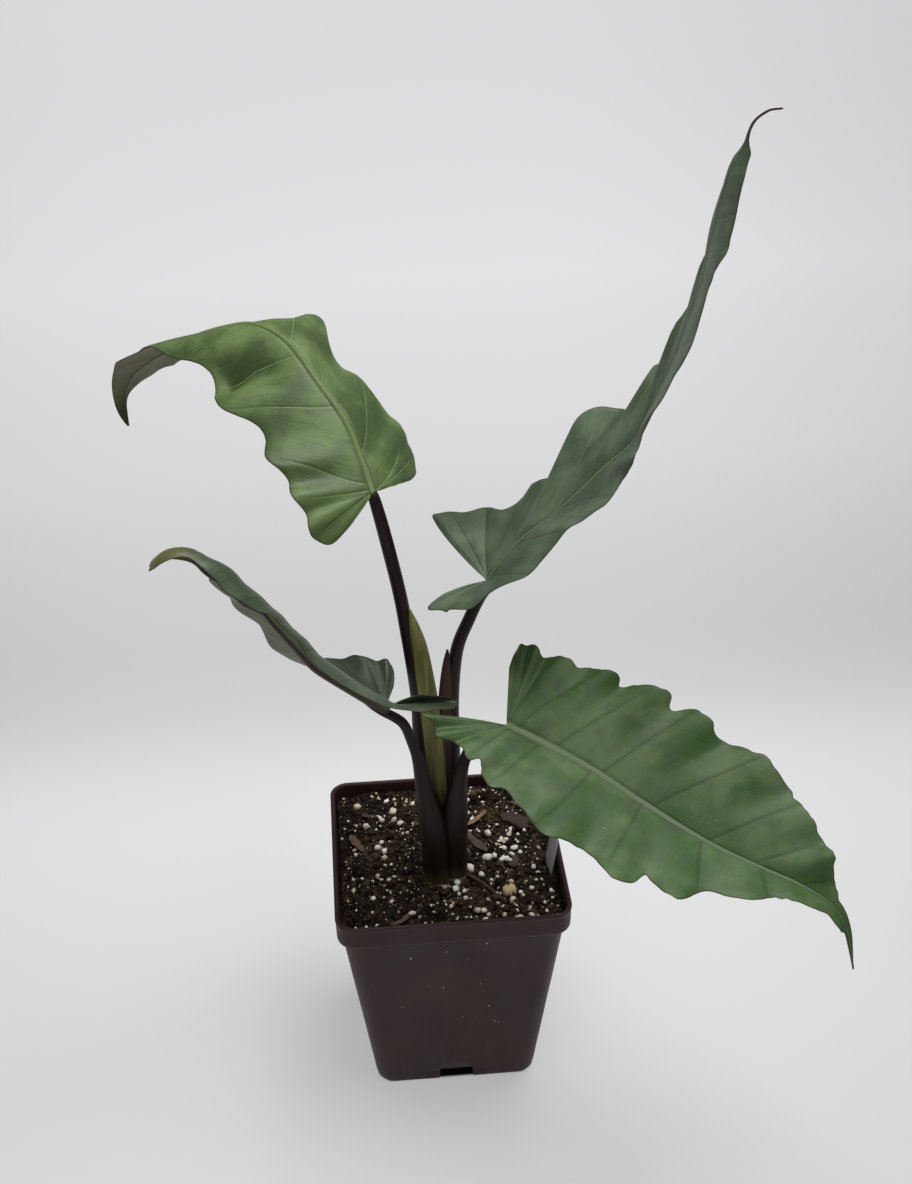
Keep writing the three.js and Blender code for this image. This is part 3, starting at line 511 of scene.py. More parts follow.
def perlite_finish():
    """White to cream expanded glass, pitted, some grains stained tan by the peat."""
    made, tree, shader, where = finish_of("perlite")
    tint = add(tree, "Attribute", attribute_name="tint").outputs["Fac"]
    pits = noise(tree, where, 1400, 3, 0.6)
    shade = mixed(tree, spread(tree, tint, 0.35, 1.0), rgb(248, 243, 232), rgb(216, 194, 164))
    shade = mixed(tree, spread(tree, pits, 0.52, 0.78, 0, 0.45), shade, rgb(132, 110, 88))
    plug(tree, shader, colour=shade, height=pits, strength=0.8, depth=0.3 * mm)
    shader.inputs["Roughness"].default_value = 0.85
    return made


def crumb_finish():
    """Peat and bark crumbs from near black to red brown, by grain."""
    made, tree, shader, where = finish_of("crumbs")
    tint = add(tree, "Attribute", attribute_name="tint").outputs["Fac"]
    fine = noise(tree, where, 1500, 4, 0.7)
    shade = mixed(tree, spread(tree, tint, 0.3, 1.0), rgb(7, 6, 5), rgb(74, 58, 45))
    shade = mixed(tree, spread(tree, fine, 0.5, 0.75, 0, 0.6), shade, rgb(132, 106, 80))
    patch = noise(tree, where, 60, 2, 0.6)
    straw = sums(tree, "MULTIPLY", spread(tree, patch, 0.52, 0.66, 0, 0.6), spread(tree, fine, 0.48, 0.62))
    shade = mixed(tree, straw, shade, rgb(120, 96, 66))
    plug(tree, shader, colour=shade, height=fine, strength=0.8, depth=0.3 * mm)
    shader.inputs["Roughness"].default_value = 0.9
    shader.inputs["Specular IOR Level"].default_value = 0.14
    return made


perlite_skin = perlite_finish()
crumb_skin = crumb_finish()
on_soil = [soil]
for name, (count, smallest, largest, power, buried, flat, seed, detail) in grain_layers.items():
    spots, radii = strewn(count, seed, smallest, largest, power)
    lift = soil_surface(spots[:, 0], spots[:, 1]) + radii * (1 - 2 * buried) * flat
    places = np.column_stack([spots, lift])
    piece = grains(name, places, radii, flat, 0.5, seed, detail)
    piece.data.materials.append(perlite_skin if name.startswith("perlite") else crumb_skin)
    on_soil.append(piece)
big = np.array(perlite_places)
lift = soil_height(big[:, 0], big[:, 1]) + 0.45 + 0.4 * big[:, 2]
perlite = grains("perlite_large", np.column_stack([big[:, :2], lift]), big[:, 2], 0.9, 0.45, 35, 1)
perlite.data.materials.append(perlite_skin)
on_soil.append(perlite)

# Bark, wood slivers and twigs dropped on the soil: [x, y, length, width, thickness, turn, curl, rise, colour].
# The same scratch program shifted them with the soil's rise.
scraps = {
    "bark_chip": [-43.1, 14.4, 15, 3.8, 0.9, -64, 1.0, 1.6, (100, 76, 58)],
    "tan_sliver": [16.6, 25, 16, 2.6, 0.6, 42, 2.2, 2.2, (146, 116, 82)],
    "grey_sliver": [14.4, 10.5, 23, 4.2, 0.9, -58, 0.6, 1.8, (82, 68, 58)],
    "cream_lump": [28.2, -26.8, 6.6, 5.6, 4.6, 20, 0.0, 1.8, (214, 186, 146)],
    "dry_strip": [-25, -44, 11, 2.6, 0.5, 35, 1.8, 1.8, (98, 78, 54)],
    "dark_bark": [37.7, 24.1, 18, 9, 2.4, -40, 0.5, 0.6, (58, 40, 30)],
    "small_bark": [-12.1, 27.3, 7, 3.4, 1.2, 15, 0.5, 0.8, (84, 56, 38)],
    "brown_bark": [33, -4.1, 8, 5, 1.6, 70, 0.3, 0.2, (74, 52, 34)],
    "corner_bark": [-36, 34.5, 8, 3.6, 1.2, -20, 0.4, 0.6, (62, 44, 34)],
}
twigs = {
    # name: [points x, y, lift], thickness at each end, colour
    "long_twig": [[[8.8, -12, 0.6], [12.5, -17.5, 2.2], [17.5, -23.5, 2.6], [22, -29.5, 2.4],
                   [26, -35, 1.4]], 1.9, 1.0, (82, 60, 48)],
    "root_front": [[[-20.2, -41.9, 0.4], [-19.8, -44, 2.2], [-20.1, -46.5, 3.0],
                    [-20.1, -48.5, 2.0]], 0.2, 0.12, (170, 150, 125)],
    "root_middle": [[[-4.8, -44.6, 0.4], [-5.2, -46, 2.6], [-5.0, -48, 2.0]], 0.18, 0.12, (150, 130, 108)],
    "root_right": [[[13.5, -46.5, 0.6], [15.2, -48, 2.4], [16.6, -50, 2.6]], 0.18, 0.12, (180, 168, 150)],
    "root_back": [[[-30, 24, 0.5], [-26, 26, 1.8], [-21, 25, 1.2], [-17, 27, 0.5]], 0.25, 0.15, (98, 70, 48)],
}
fibre_count = 110


def between(rows, places):
    """Rows read smoothly at places from 0 to the last row: Catmull-Rom, with straight ends."""
    rows = np.asarray(rows, float)
    more = np.vstack([2 * rows[0] - rows[1], rows, 2 * rows[-1] - rows[-2]])
    x = np.clip(places, 0, len(rows) - 1)
    i = np.minimum(np.floor(x).astype(int), len(rows) - 2)
    u = (x - i)[..., None]
    a, b, c, d = (more[i + k] for k in range(4))
    return 0.5 * (2 * b + (c - a) * u + (2 * a - 5 * b + 4 * c - d) * u ** 2 + (3 * b - a - 3 * c + d) * u ** 3)


def unit(v):
    """v at length 1."""
    return v / np.maximum(np.linalg.norm(v, axis=-1, keepdims=True), 1e-12)


def twig(points, start, end, sides=6, steps=14):
    """Round rod along a smooth path; its radius runs from start to end."""
    at = np.linspace(0, len(points) - 1, steps)
    line = between(points, at)
    ahead = unit(np.gradient(line, axis=0))
    across = unit(np.cross(ahead, [0.1, 0.2, 1.0]))
    over = np.cross(across, ahead)
    angle = np.linspace(0, 2 * np.pi, sides, endpoint=False)
    radius = np.linspace(start, end, steps)[:, None, None] / 2
    return line[:, None] + radius * (np.cos(angle)[None, :, None] * across[:, None]
                                     + np.sin(angle)[None, :, None] * over[:, None])


def plain_finish(name, colour, roughness, wood=1.0):
    """Dry wood or root: darker streaks along the piece's length and pores in relief."""
    made, tree, shader, where = finish_of(name)
    streaks = noise(tree, where, 420, 4, 0.65, (1, 1, 0.4))
    pores = noise(tree, where, 1300, 3, 0.6)
    dark = tuple(c * 0.45 for c in rgb(*colour)[:3]) + (1.0,)
    shade = mixed(tree, spread(tree, streaks, 0.35, 0.65, 0, wood), rgb(*colour), dark)
    plug(tree, shader, colour=shade, height=pores, strength=0.6, depth=0.25 * mm)
    shader.inputs["Roughness"].default_value = roughness
    return made


def scrap(length, width, thick, curl, seed):
    """A flake: a ragged oval plate, half width (1 - |2u - 1|^4)^0.6, bent up by curl toward its ends."""
    rng = np.random.default_rng(seed)
    u = np.linspace(0.02, 0.98, 19)[:, None]
    angle = np.linspace(0, 2 * np.pi, 16, endpoint=False)[None]
    half = (1 - np.abs(2 * u - 1) ** 4) ** 0.6 * (1 + 0.5 * (between(rng.random((8, 1)), u[:, 0] * 7) - 0.5))
    ragged = 1 + 0.26 * (rng.random((19, 16)) - 0.5)
    x = length * (u - 0.5) + 0 * angle
    y = half * width / 2 * np.sign(np.cos(angle)) * np.abs(np.cos(angle)) ** 0.7 * ragged
    z = half ** 0.5 * thick / 2 * np.sin(angle) * ragged + curl * ((2 * u - 1) ** 2 + 0.8 * (y / width) ** 2)
    return np.stack([x, y, z], -1)


for number, (name, (x, y, length, width, thick, turn, curl, rise, colour)) in enumerate(scraps.items()):
    rings = scrap(length, width, thick, curl, 50 + number)
    c, s = math.cos(math.radians(turn)), math.sin(math.radians(turn))
    lie = np.array([[c, -s, 0], [s, c, 0], [0, 0, 1]])
    points, quads, caps = skin(rings)
    spot = np.array([x, y, float(soil_height(np.array(x), np.array(y))) + rise])
    piece = build(name, mm * (points @ lie.T + spot), quads[:, ::-1], caps[:, ::-1])
    piece.data.materials.append(plain_finish(name, colour, 0.75, 0.35 if name == "cream_lump" else 0.8))
    on_soil.append(piece)
for name, (points, start, end, colour) in twigs.items():
    path = np.array(points, float)
    path[:, 2] += soil_height(path[:, 0], path[:, 1])
    made = skin(twig(path, start, end))
    piece = build(name, mm * made[0], *made[1:])
    piece.data.materials.append(plain_finish(name, colour, 0.8))
    on_soil.append(piece)

rng = np.random.default_rng(77)
starts, _ = strewn(fibre_count, 78, 1, 1, 1)
fibre_points, fibre_quads, fibre_caps, total = [], [], [], 0
for x, y in starts:
    heading = rng.uniform(0, 2 * np.pi) + np.cumsum(rng.normal(0, 0.5, 5))
    reach = rng.uniform(0.9, 2.4)
    path = np.column_stack([x + np.cumsum(reach * np.cos(heading)), y + np.cumsum(reach * np.sin(heading)),
                            rng.uniform(0.4, 1.6, 5)])
    path[:, :2] = np.clip(path[:, :2], -50.5, 50.5)
    path[:, 2] += soil_surface(path[:, 0], path[:, 1])
    points, quads, caps = skin(twig(path, rng.uniform(0.16, 0.4), 0.1, 4, 9))
    fibre_points.append(points)
    fibre_quads.append(quads + total)
    fibre_caps.append(caps + total)
    total += len(points)
fibres = build("soil_fibres", mm * np.vstack(fibre_points), np.vstack(fibre_quads), np.vstack(fibre_caps))
fibres.data.materials.append(plain_finish("fibres", (104, 76, 52), 0.85))
on_soil.append(fibres)
for piece in on_soil:
    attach(piece, "root")
    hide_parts("soil")

# Corm: the swollen rootstock that the stems grow from, below the soil. Its brown skin has a ring for each old
# leaf.
corm_profile = [[0.5, 70.1], [6, 71], [10.5, 77], [12, 84], [11, 91], [8, 94.6], [0.5, 94.9]]
corm_middle = (-0.5, -8.5)
at = np.linspace(0, 6, 90)
radius, height = between(corm_profile, at).T
radius = radius + 0.25 * np.sin(height * 2.3) ** 6 * (radius > 4)
angle = np.linspace(0, 2 * np.pi, 48, endpoint=False)
rings = np.stack([
    corm_middle[0] + radius[:, None] * np.cos(angle),
    corm_middle[1] + radius[:, None] * np.sin(angle),
    height[:, None] + 0 * angle,
], -1)
made = skin(rings)
corm = build("corm_rings", mm * made[0], *made[1:])
corm.data.materials.append(plain_finish("corm_skin", (112, 80, 56), 0.8, 0.6))
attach(corm, "root")
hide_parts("corm")

# Label: a blank strip of white plastic pushed in beside the right wall, punched from sheet with a point below
# and clipped corners above, a little bowed.
label_width = 12.0
label_thick = 0.8
label_bottom = 84.0
label_height = 79.0
label_point = 20.0
label_clip = 2.0
label_foot = (45.6, -11.5)
label_lean = 0.125
label_turn = math.radians(95)

rise = np.array([0, 1, 3, 8, 14, label_point, 24, 34, 44, 54, 64, 72, 76.4, 77.4, 78.2, 78.7, label_height])
half = np.interp(rise, [0, label_point, label_height - label_clip, label_height],
                 [0.6, label_width / 2, label_width / 2, label_width / 2 - label_clip])
round_off = np.array([[-1, -0.35], [-0.99, -0.7], [-0.96, -1], [-0.5, -1], [0, -1], [0.5, -1], [0.96, -1], [0.99, -0.7],
                      [1, -0.35], [1, 0.35], [0.99, 0.7], [0.96, 1], [0.5, 1], [0, 1], [-0.5, 1], [-0.96, 1],
                      [-0.99, 0.7], [-1, 0.35]])
wide = half[:, None] * round_off[None, :, 0]
deep = label_thick / 2 * round_off[None, :, 1] * np.ones((len(rise), 1)) + 0.5 * (1 - (wide / 6) ** 2) - 0.3
c, s = math.cos(label_turn), math.sin(label_turn)
rings = np.stack([
    label_foot[0] + wide * c - deep * s + label_lean * rise[:, None],
    label_foot[1] + wide * s + deep * c,
    label_bottom + rise[:, None] + 0 * wide,
], -1)
made = skin(rings)
label = build("label_strip", mm * made[0], *made[1:])
label_plastic, tree, shader, where = finish_of("label_plastic")
smudge = noise(tree, where, 60, 5, 0.6)
low = add(tree, "SeparateXYZ", {0: where}).outputs[2]
white = mixed(tree, spread(tree, smudge, 0.45, 0.75, 0, 0.5), rgb(176, 178, 182), rgb(140, 138, 136))
white = mixed(tree, spread(tree, low, 0.114, 0.108), white, rgb(120, 104, 90))
plug(tree, shader, colour=white)
shader.inputs["Roughness"].default_value = 0.35
label.data.materials.append(label_plastic)
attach(label, "root")
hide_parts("label")

# Stems: four fleshy stalks, near black with purple, that rise in a bundle from the corm. Each is round above and
# wider below, where its sheath wraps the younger ones; the upper two still carry a thin pointed sheath.
# Rows of a stalk: [x, y, z, radius]; of a sheath: [x, y, z, half width, half depth]. A scratch program turned
# points picked in the photo into these places, at depths set by eye.
stalks = {
    "upper_left": [[-4, -7, 96, 6], [-6, -5, 125, 5.6], [-9, -3, 155, 4.8], [-10, -1, 183, 4.2], [-11, 0, 210, 3.8],
                   [-15, 1, 243, 3.2], [-18, 2, 265, 3], [-23, 3, 292, 2.9], [-26.6, 4.4, 308.6, 2.6],
                   [-28.6, 9, 313, 1.9], [-31.2, 16, 322, 0.9]],
    "tall_right": [[3, -4, 96, 5.5], [3, -3, 125, 5], [3.5, 0, 150, 4.4], [4, 1, 180, 3.9], [4.5, 2, 205, 3.5],
                   [7.5, 3, 230, 3], [13.5, 4, 246, 2.8], [19, 5.5, 257, 2.7], [23.8, 5.8, 262.9, 2.5],
                   [27.6, 4.8, 269.3, 1.9], [34, 3.6, 279.6, 0.9]],
    "lower_left": [[-5, -13, 96, 6.3], [-5.2, -13, 109, 6.6], [-5.9, -12.8, 132, 6.8], [-7.1, -12.6, 145, 6.3],
                   [-9.2, -12.2, 158, 5],
                   [-12.5, -12, 180, 2.9], [-15.5, -12, 192, 2.4], [-19.4, -13, 203, 2.3], [-28.2, -13.5, 210.4, 2.1],
                   [-31.5, -13.9, 213, 1.7], [-36.5, -14.6, 217.7, 0.9]],
    "lower_right": [[4, -11, 96, 5.8], [3.6, -11, 113, 5.8], [3.6, -11.4, 136, 6.2], [4.2, -11.6, 148, 5.9],
                    [5.4, -11.4, 162, 4.6],
                    [8, -12.5, 176, 3], [11, -17, 188, 2.6], [15.5, -27, 202, 2.5], [22, -39, 213.6, 2.4],
                    [25.8, -44.6, 217.2, 2.2], [30, -48.2, 217.3, 1.7], [37, -53.6, 217.1, 0.9]],
}
sheaths = {
    "upper_left": [[-3.6, -6, 125, 4.2, 3], [-3.9, -4.6, 150, 4.8, 3.4], [-4.6, -3.4, 173, 4.9, 3.4],
                   [-5.8, -3, 196, 4.7, 3], [-7.4, -2.6, 215, 4.3, 2.7], [-9.6, -2.1, 235, 3.5, 2.2],
                   [-11.8, -1.6, 247, 2.3, 1.6], [-13.6, -1, 256, 0.4, 0.4]],
    "tall_right": [[1.5, -4, 125, 3.6, 3], [1, -2, 150, 3.4, 2.8], [1, -1, 175, 3.4, 2.6], [1.2, -0.6, 200, 3.3, 2.2],
                   [1.8, -0.2, 214, 2.8, 1.8], [2.5, 0.3, 225, 1.8, 1.3], [3, 0.6, 232, 0.5, 0.5]],
}
stalk_sides = 40


def stem_rings(rows, steps, sides, ribs, rib_height):
    """Oval sections along a path, r (1 + h cos(n a)) with n fine ribs; across is level, front stands on it."""
    rows = np.array([row if len(row) == 5 else row + row[3:] for row in rows], float)
    at = np.linspace(0, len(rows) - 1, steps)
    spot = between(rows, at)
    ahead = unit(between(rows, at + 0.1)[:, :3] - between(rows, at - 0.1)[:, :3])
    across = unit(np.array([1.0, 0, 0]) - ahead * ahead[:, :1])
    front = np.cross(ahead, across)
    angle = np.linspace(0, 2 * np.pi, sides, endpoint=False)[None, :, None]
    ripple = 1 + rib_height * np.cos(ribs * angle) * np.minimum(1, spot[:, 3] / 3)[:, None, None]
    return spot[:, None, :3] + ripple * (spot[:, 3][:, None, None] * np.cos(angle) * across[:, None]
                                         + spot[:, 4][:, None, None] * np.sin(angle) * front[:, None])


def stem_finish(name, low, high, sheen):
    """Streaked skin: olive with a pale torn rim at the soil, low colour above it and high colour toward the blade,
    with darker lines lengthwise and lighter, drawn-out clouds of painted sheen."""
    made, tree, shader, where = finish_of(name)
    height = add(tree, "SeparateXYZ", {0: where}).outputs[2]
    lines = noise(tree, where, 900, 3, 0.6, (1, 1, 0.035))
    broad = noise(tree, where, 300, 2, 0.5, (1, 1, 0.02))
    cloud = noise(tree, where, 60, 3, 0.6, (1, 1, 0.4))
    shade = mixed(tree, spread(tree, height, 0.125, 0.19), rgb(*low), rgb(*high))
    dark = mixed(tree, 1.0, shade, (0.42, 0.38, 0.38, 1), "MULTIPLY")
    shade = mixed(tree, spread(tree, lines, 0.45, 0.6, 0, 0.6), shade, dark)
    shade = mixed(tree, spread(tree, broad, 0.5, 0.6, 0, 0.7), shade, dark)
    # Lighter clouds of the sheen colour: painted sheen.
    shade = mixed(tree, spread(tree, cloud, 0.5, 0.8, 0, 0.3), shade, rgb(*sheen))
    shade = mixed(tree, spread(tree, height, 0.121, 0.112, 0, 0.8), shade, rgb(62, 56, 32))
    shade = mixed(tree, spread(tree, height, 0.1113, 0.1107, 0, 0.8), shade, rgb(158, 146, 118))
    plug(tree, shader, colour=shade, roughness=spread(tree, cloud, 0.3, 0.7, 0.4, 0.56), height=lines,
         strength=0.35, depth=0.12 * mm)
    shader.inputs["Specular IOR Level"].default_value = 0.26
    return made


stem_dark = stem_finish("stem_dark", (32, 20, 12), (30, 11, 10), (58, 32, 30))
stem_green = stem_finish("stem_green", (46, 46, 20), (118, 118, 66), (144, 140, 90))
stem_brown = stem_finish("stem_brown", (34, 20, 16), (62, 38, 30), (92, 66, 54))
for name, rows in stalks.items():
    rings = stem_rings(rows, 170, stalk_sides, 13, 0.012)
    made = skin(rings)
    piece = build("stalk_" + name, mm * made[0], *made[1:])
    piece.data.materials.append(stem_dark)
    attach(piece, "root")
    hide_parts("petiole_" + name)
for name, rows in sheaths.items():
    made = skin(stem_rings(rows, 110, stalk_sides, 9, 0.02))
    piece = build("sheath_" + name, mm * made[0], *made[1:])
    piece.data.materials.append(stem_green if name == "upper_left" else stem_brown)
    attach(piece, "root")
    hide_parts("petiole_" + name)

# Leaves: arrow-shaped blades that are thin, stiff and lobed at the margin. A thick midrib stands out below and a
# slim one above; side veins run from it to the margin, each in a furrow, with the blade puffed up between them.
# midrib: points from the stem to the tip. face: [part of the length, direction the upper side faces].
# left, right: [part of the length where the row leaves the midrib, angle from it, length over which it bends, rise
# at the midrib, rise at its end], mm and degrees. edge: from the midrib to the margin in mm, at even steps through
# that list. dips: places in the list where the margin is notched; wave: how far it falls there. veins: [place in
# the list at the midrib, place at the margin]. hollows: [place in the list, part of the way out, reach along the
# list, reach outward, depth]. puff: how far the blade stands up between two veins. steady: the part of the length,
# each way, over which the midrib's direction is taken.
# Scratch programs made most of these numbers: the rows were solved from points picked in the photo, and the edges
# follow the blades' outlines in it. Some were then changed.
leaves = {
    "upper_left": {
        "midrib": [[-27, 4, 313], [-31, 14, 324], [-37, 26, 337], [-47, 40, 348], [-60, 58, 361], [-74, 73, 364],
                   [-89, 84, 359], [-105, 93, 351], [-118, 99, 342], [-127, 102, 336], [-136, 104, 328],
                   [-141, 105, 317], [-140, 102, 304]],
        "face": [[0, 0.45, -0.75, 0.45], [0.3, 0.35, -0.6, 0.7], [0.55, 0.1, -0.3, 0.95], [0.72, -0.4, 0.35, 0.8],
                 [0.88, -0.6, 0.6, 0.3], [1, -0.6, 0.8, 0.1]],
        "left": [[0, 130, 18, -10, -15], [0, 127, 30, -10, -20], [0, 111, 33, -9, -19], [0, 92, 35, -7, -17],
                 [0.02, 83, 35, -6, -16], [0.07, 81, 37, -7, -17], [0.12, 80, 39, -10, -25], [0.21, 77, 40, -10, -30],
                 [0.3, 80, 41, -15, -35], [0.38, 76, 40, -18, -41], [0.46, 64, 35, -13, -36], [0.53, 52, 29, 4, -18],
                 [0.6, 47, 25, 14, -5], [0.68, 50, 24, 20, 14], [0.76, 58, 20, 20, 18], [0.84, 62, 13, 12, 12],
                 [0.92, 60, 8, 0, 0], [1, 30, 0.8, 0, 0]],
        "right": [[0, 80, 15, -10, -15], [0, 78, 26, -10, -25], [0, 72, 32, -9, -24], [0, 61, 37, -8, -22],
                  [0.04, 56, 38, -9, -24], [0.1, 51, 40, -15, -30], [0.18, 49, 41, -18, -33],
                  [0.26, 50, 42, -16, -36], [0.33, 54, 42, -11, -36], [0.4, 58, 41, -10, -35],
                  [0.47, 62, 38, -15, -45], [0.54, 58, 33, -25, -55], [0.6, 35, 32, -18, -40],
                  [0.68, 32, 27, -10, -15], [0.76, 45, 18, -2, -8], [0.84, 55, 12, 0, 0], [0.92, 55, 7, 0, 0],
                  [1, 30, 0.8, 0, 0]],
        "dips": {"left": [3, 4.5, 6.8, 9.6, 12], "right": [4.6, 6.6, 11]},
        "edge": {
            "left": [16, 19.5, 22.9, 26, 28.8, 30.6, 31.6, 32.4, 33.2, 33.2, 32.3, 31.1, 30.9, 31.8, 33.4, 34.8,
                     35.2, 34.7, 34, 34.1, 35.2, 36.7, 38.2, 39.3, 39.3, 38.1, 36.6, 34.9, 33.7, 33.6, 35.3,
                     38.6, 41.5, 42.6, 42.4, 41.9, 41.4, 40.7, 38.8, 35.6, 32.7, 31.3, 30.7, 30.3, 29.4, 28.3,
                     27.4, 26.5, 25.6, 25, 24.6, 24.4, 25.2, 24, 23.8, 24.2, 23.8, 22.2, 20, 17.4, 14.8,
                     12.4, 10.4, 8.5, 6.9, 5.8, 4.8, 3.1, 0.6],
            "right": [16, 20.5, 24.6, 28, 30.8, 33.2, 35.3, 36.2, 36.2, 36.9, 38.3, 39.5, 40.4, 40.9,
                      40.5, 38.9, 38.3, 39.9, 41.9, 41.6, 39, 36.7, 36.5, 38.5, 41.3, 42.8, 41.8, 39.2,
                      36.9, 36, 35.9, 37.3, 40.2, 41.5, 40.9, 40.8, 40.8, 40.1, 39.2, 38.4, 37.4, 36.4,
                      35.2, 34.1, 33.2, 32.6, 32.2, 31.9, 31.3, 30.4, 30.5, 31, 31, 29.5, 27.5, 25, 23,
                      21.8, 20.3, 17.8, 14.9, 11.8, 8.8, 6, 3.7, 2.4, 1.7, 1.1, 0.6],
        },
        "wave": {"left": 14, "right": 8},
        "veins": {
            "left": [[0, 0], [0.9, 0.7], [2.04, 1.8], [3.35, 3.65], [3.9, 6.0], [6.9, 8.0], [8.6, 9.6],
                     [10.4, 11.2], [12.4, 13], [14.5, 14.9], [17, 17]],
            "right": [[0, 0], [0.9, 0.8], [2.3, 2.8], [2.75, 4.0], [4.8, 5.95], [7.0, 8.6], [8.8, 10],
                      [10.6, 11.5], [12.6, 13.2], [14.6, 15], [17, 17]],
        },
        "hollows": {"left": [[9.5, 0.9, 0.6, 0.25, 3.5], [9.0, 0.68, 0.55, 0.25, 4.5], [8.5, 0.38, 0.5, 0.2, 3.5],
                             [10.3, 0.6, 0.45, 0.3, -1.2], [6.4, 0.6, 0.7, 0.35, 1.4], [4.5, 0.6, 0.5, 0.4, 1.2]],
                    "right": [[7.4, 0.6, 0.8, 0.4, 1.5]]},
        "puff": 0.6,
    },
    "tall_right": {
        "midrib": [[22, 6, 264], [30, 4, 277], [39, 3, 288], [49, 1, 297], [61, -1, 310], [72, -2, 322],
                   [83, -4, 334], [89, -6, 348], [96, -7, 365], [102, -9, 386], [107, -10, 404], [109, -12, 421],
                   [111, -14, 438], [114, -15, 453], [118.3, -17, 463], [119.5, -18, 468.4],
                   [120.8, -19, 472.6], [123.2, -20, 475.5], [126.2, -21, 477.6], [130.3, -22, 478.3]],
        "face": [[0, -0.76, 0.05, 0.64], [0.4, -0.76, 0, 0.64], [0.7, -0.9, -0.1, 0.4], [1, -0.9, -0.1, 0.4]],
        "left": [[0, 107, 33, 34, 29], [0, 103, 50, 36, 30], [0, 94, 50, 28.5, 22], [0, 78, 44, 15.5, 10],
                 [0.015, 65, 45, 5, 0], [0.03, 51, 50, -2, -8], [0.07, 42, 56, 4, -2], [0.1, 37, 63, 10, 2],
                 [0.14, 36, 63, 12, 4], [0.2, 33, 58, 8, 0], [0.27, 33, 54, 9, 0], [0.34, 36, 49, 12, 3],
                 [0.42, 37, 43, 4, -6], [0.5, 38, 38, 0, -10], [0.58, 39, 33, -2, -12], [0.66, 40, 28, -2, -12],
                 [0.74, 39, 22, -3, -12], [0.82, 34, 14, -6, -11], [0.9, 29, 4.6, -3, -3], [0.94, 20, 1.2, 0, 0],
                 [1, 20, 0.8, 0, 0]],
        "right": [[0, 151, 20, 56, 51], [0, 144, 31, 46, 40], [0, 122, 27, 37, 31], [0, 90, 30, 24, 16],
                  [0, 63, 37, 12, 6], [0.03, 53, 43, 3, -5], [0.08, 49, 46, 6, -2], [0.14, 47, 48, 13, 5],
                  [0.2, 50, 47, 11, 3], [0.27, 55, 44, 15, 7], [0.33, 56, 41, 21, 13], [0.4, 54, 39, 19, 14],
                  [0.47, 57, 36, 19, 15], [0.53, 61, 34, 17, 10], [0.6, 69, 31, 18, 10], [0.67, 73, 30, 20, 12],
                  [0.73, 74, 27, 14, 6], [0.79, 75, 23, 7, 1], [0.85, 72, 16, 4, 0], [0.9, 58, 7, -4, -4],
                  [0.94, 20, 1.2, 0, 0], [1, 20, 0.8, 0, 0]],
        "dips": {"left": [4.1, 5.5, 9.2, 11.3, 13.5], "right": [3, 5.5, 9, 10.6, 15.4]},
        "edge": {
            "left": [36, 42.8, 48.8, 53.4, 55, 53.8, 52.8, 51.8, 49.5, 46.7, 45.8, 45.7, 44.3, 41.4, 38.6, 37.1,
                     39.7, 45.1, 47.7, 48.1, 48.5, 48.3, 48.7, 51, 53.9, 56.5, 58.8, 60.8, 62.3, 63.4, 64.1,
                     64.1, 63.1, 61.6, 59.2, 55.9, 53.4, 52.4, 52.6, 53.2, 53.4, 52.7, 51.1, 49, 46.6, 44.7,
                     43.6, 43, 42.4, 41.5, 40.4, 38.8, 37.1, 35.4, 34.2, 33.5, 32.7, 31.4, 29.6, 27.9, 26.5,
                     25.1, 23.7, 22.1, 20.5, 18.6, 16.7, 14.6, 12.4, 10.1, 7.5, 5.2, 5.8, 4.6, 3.2, 2.2, 1.7, 1.4,
                     0.9, 0.8, 0.6],
            "right": [20, 24.8, 28.4, 29.9, 29.1, 27.2, 25.8, 25.5, 25.8, 26, 26.3, 26.4, 26.5, 26.8, 27.9, 30,
                      32.4, 34.3, 35.9, 37.5, 37.9, 37.2, 36.8, 37.8, 39.3, 41, 42.6, 43.2, 43.3, 43.6, 44.6,
                      45.5, 44.7, 42.1, 39.3, 36.9, 35.8, 37.5, 41.6, 41, 35, 27.5, 22, 21, 24.5, 29.5,
                      33.9, 34.5, 35.7, 37.1, 38.4, 38.8, 38.4, 37.6, 36.2, 33.2, 28.8, 25, 22.8, 21.7, 20.8,
                      20.1, 20.6, 23.3, 26, 25.5, 22.8, 20.7, 19.7, 18.5, 17.2, 16, 14.8, 13.2, 10.9, 8.6, 7,
                      4.0, 2.2, 1.8, 1.6, 1.4, 1.2, 0.9, 0.7],
        },
        "wave": {"left": 10, "right": 12},
        "veins": {
            "left": [[0, 0], [1, 0.8], [2.2, 1.75], [2.9, 2.9], [4.97, 4.95], [6.7, 6.4], [8.45, 7.8],
                     [10.7, 10.7], [12.6, 12.8], [14.5, 14.8], [16.4, 16.7], [20, 20]],
            "right": [[0, 0], [1, 0.9], [3, 3.1], [4.5, 5.1], [6.2, 6.5], [8, 8.4], [9.8, 10.2], [11.6, 12],
                      [13.4, 13.8], [15.2, 15.5], [17, 17.3], [21, 21]],
        },
        "hollows": {"left": [[6.2, 0.5, 1.0, 0.4, 1.6]], "right": []},
        "puff": 0.45,
    },
    "lower_left": {
        "midrib": [[-27, -14, 212], [-39, -15, 222], [-53, -16, 234], [-59, -17, 241], [-66, -19, 253],
                   [-73, -20, 264], [-77, -21, 271], [-85, -22, 277], [-91, -22, 285], [-99, -23, 293],
                   [-104, -23, 299], [-111, -24, 302], [-117, -24, 302], [-119, -24, 300], [-122, -24, 297]],
        "face": [[0, 0.45, -0.25, 0.85], [0.15, 0.5, 0, 0.85], [0.35, 0.6, 0.4, 0.7], [0.7, 0.6, 0.35, 0.7],
                 [1, 0.2, 0.2, 0.9]],
        "left": [[0, 165, 15, 82, 70], [0, 176, 31, 66, 40], [0, 128, 29, 76, 42], [0, 75, 28, 70, 26],
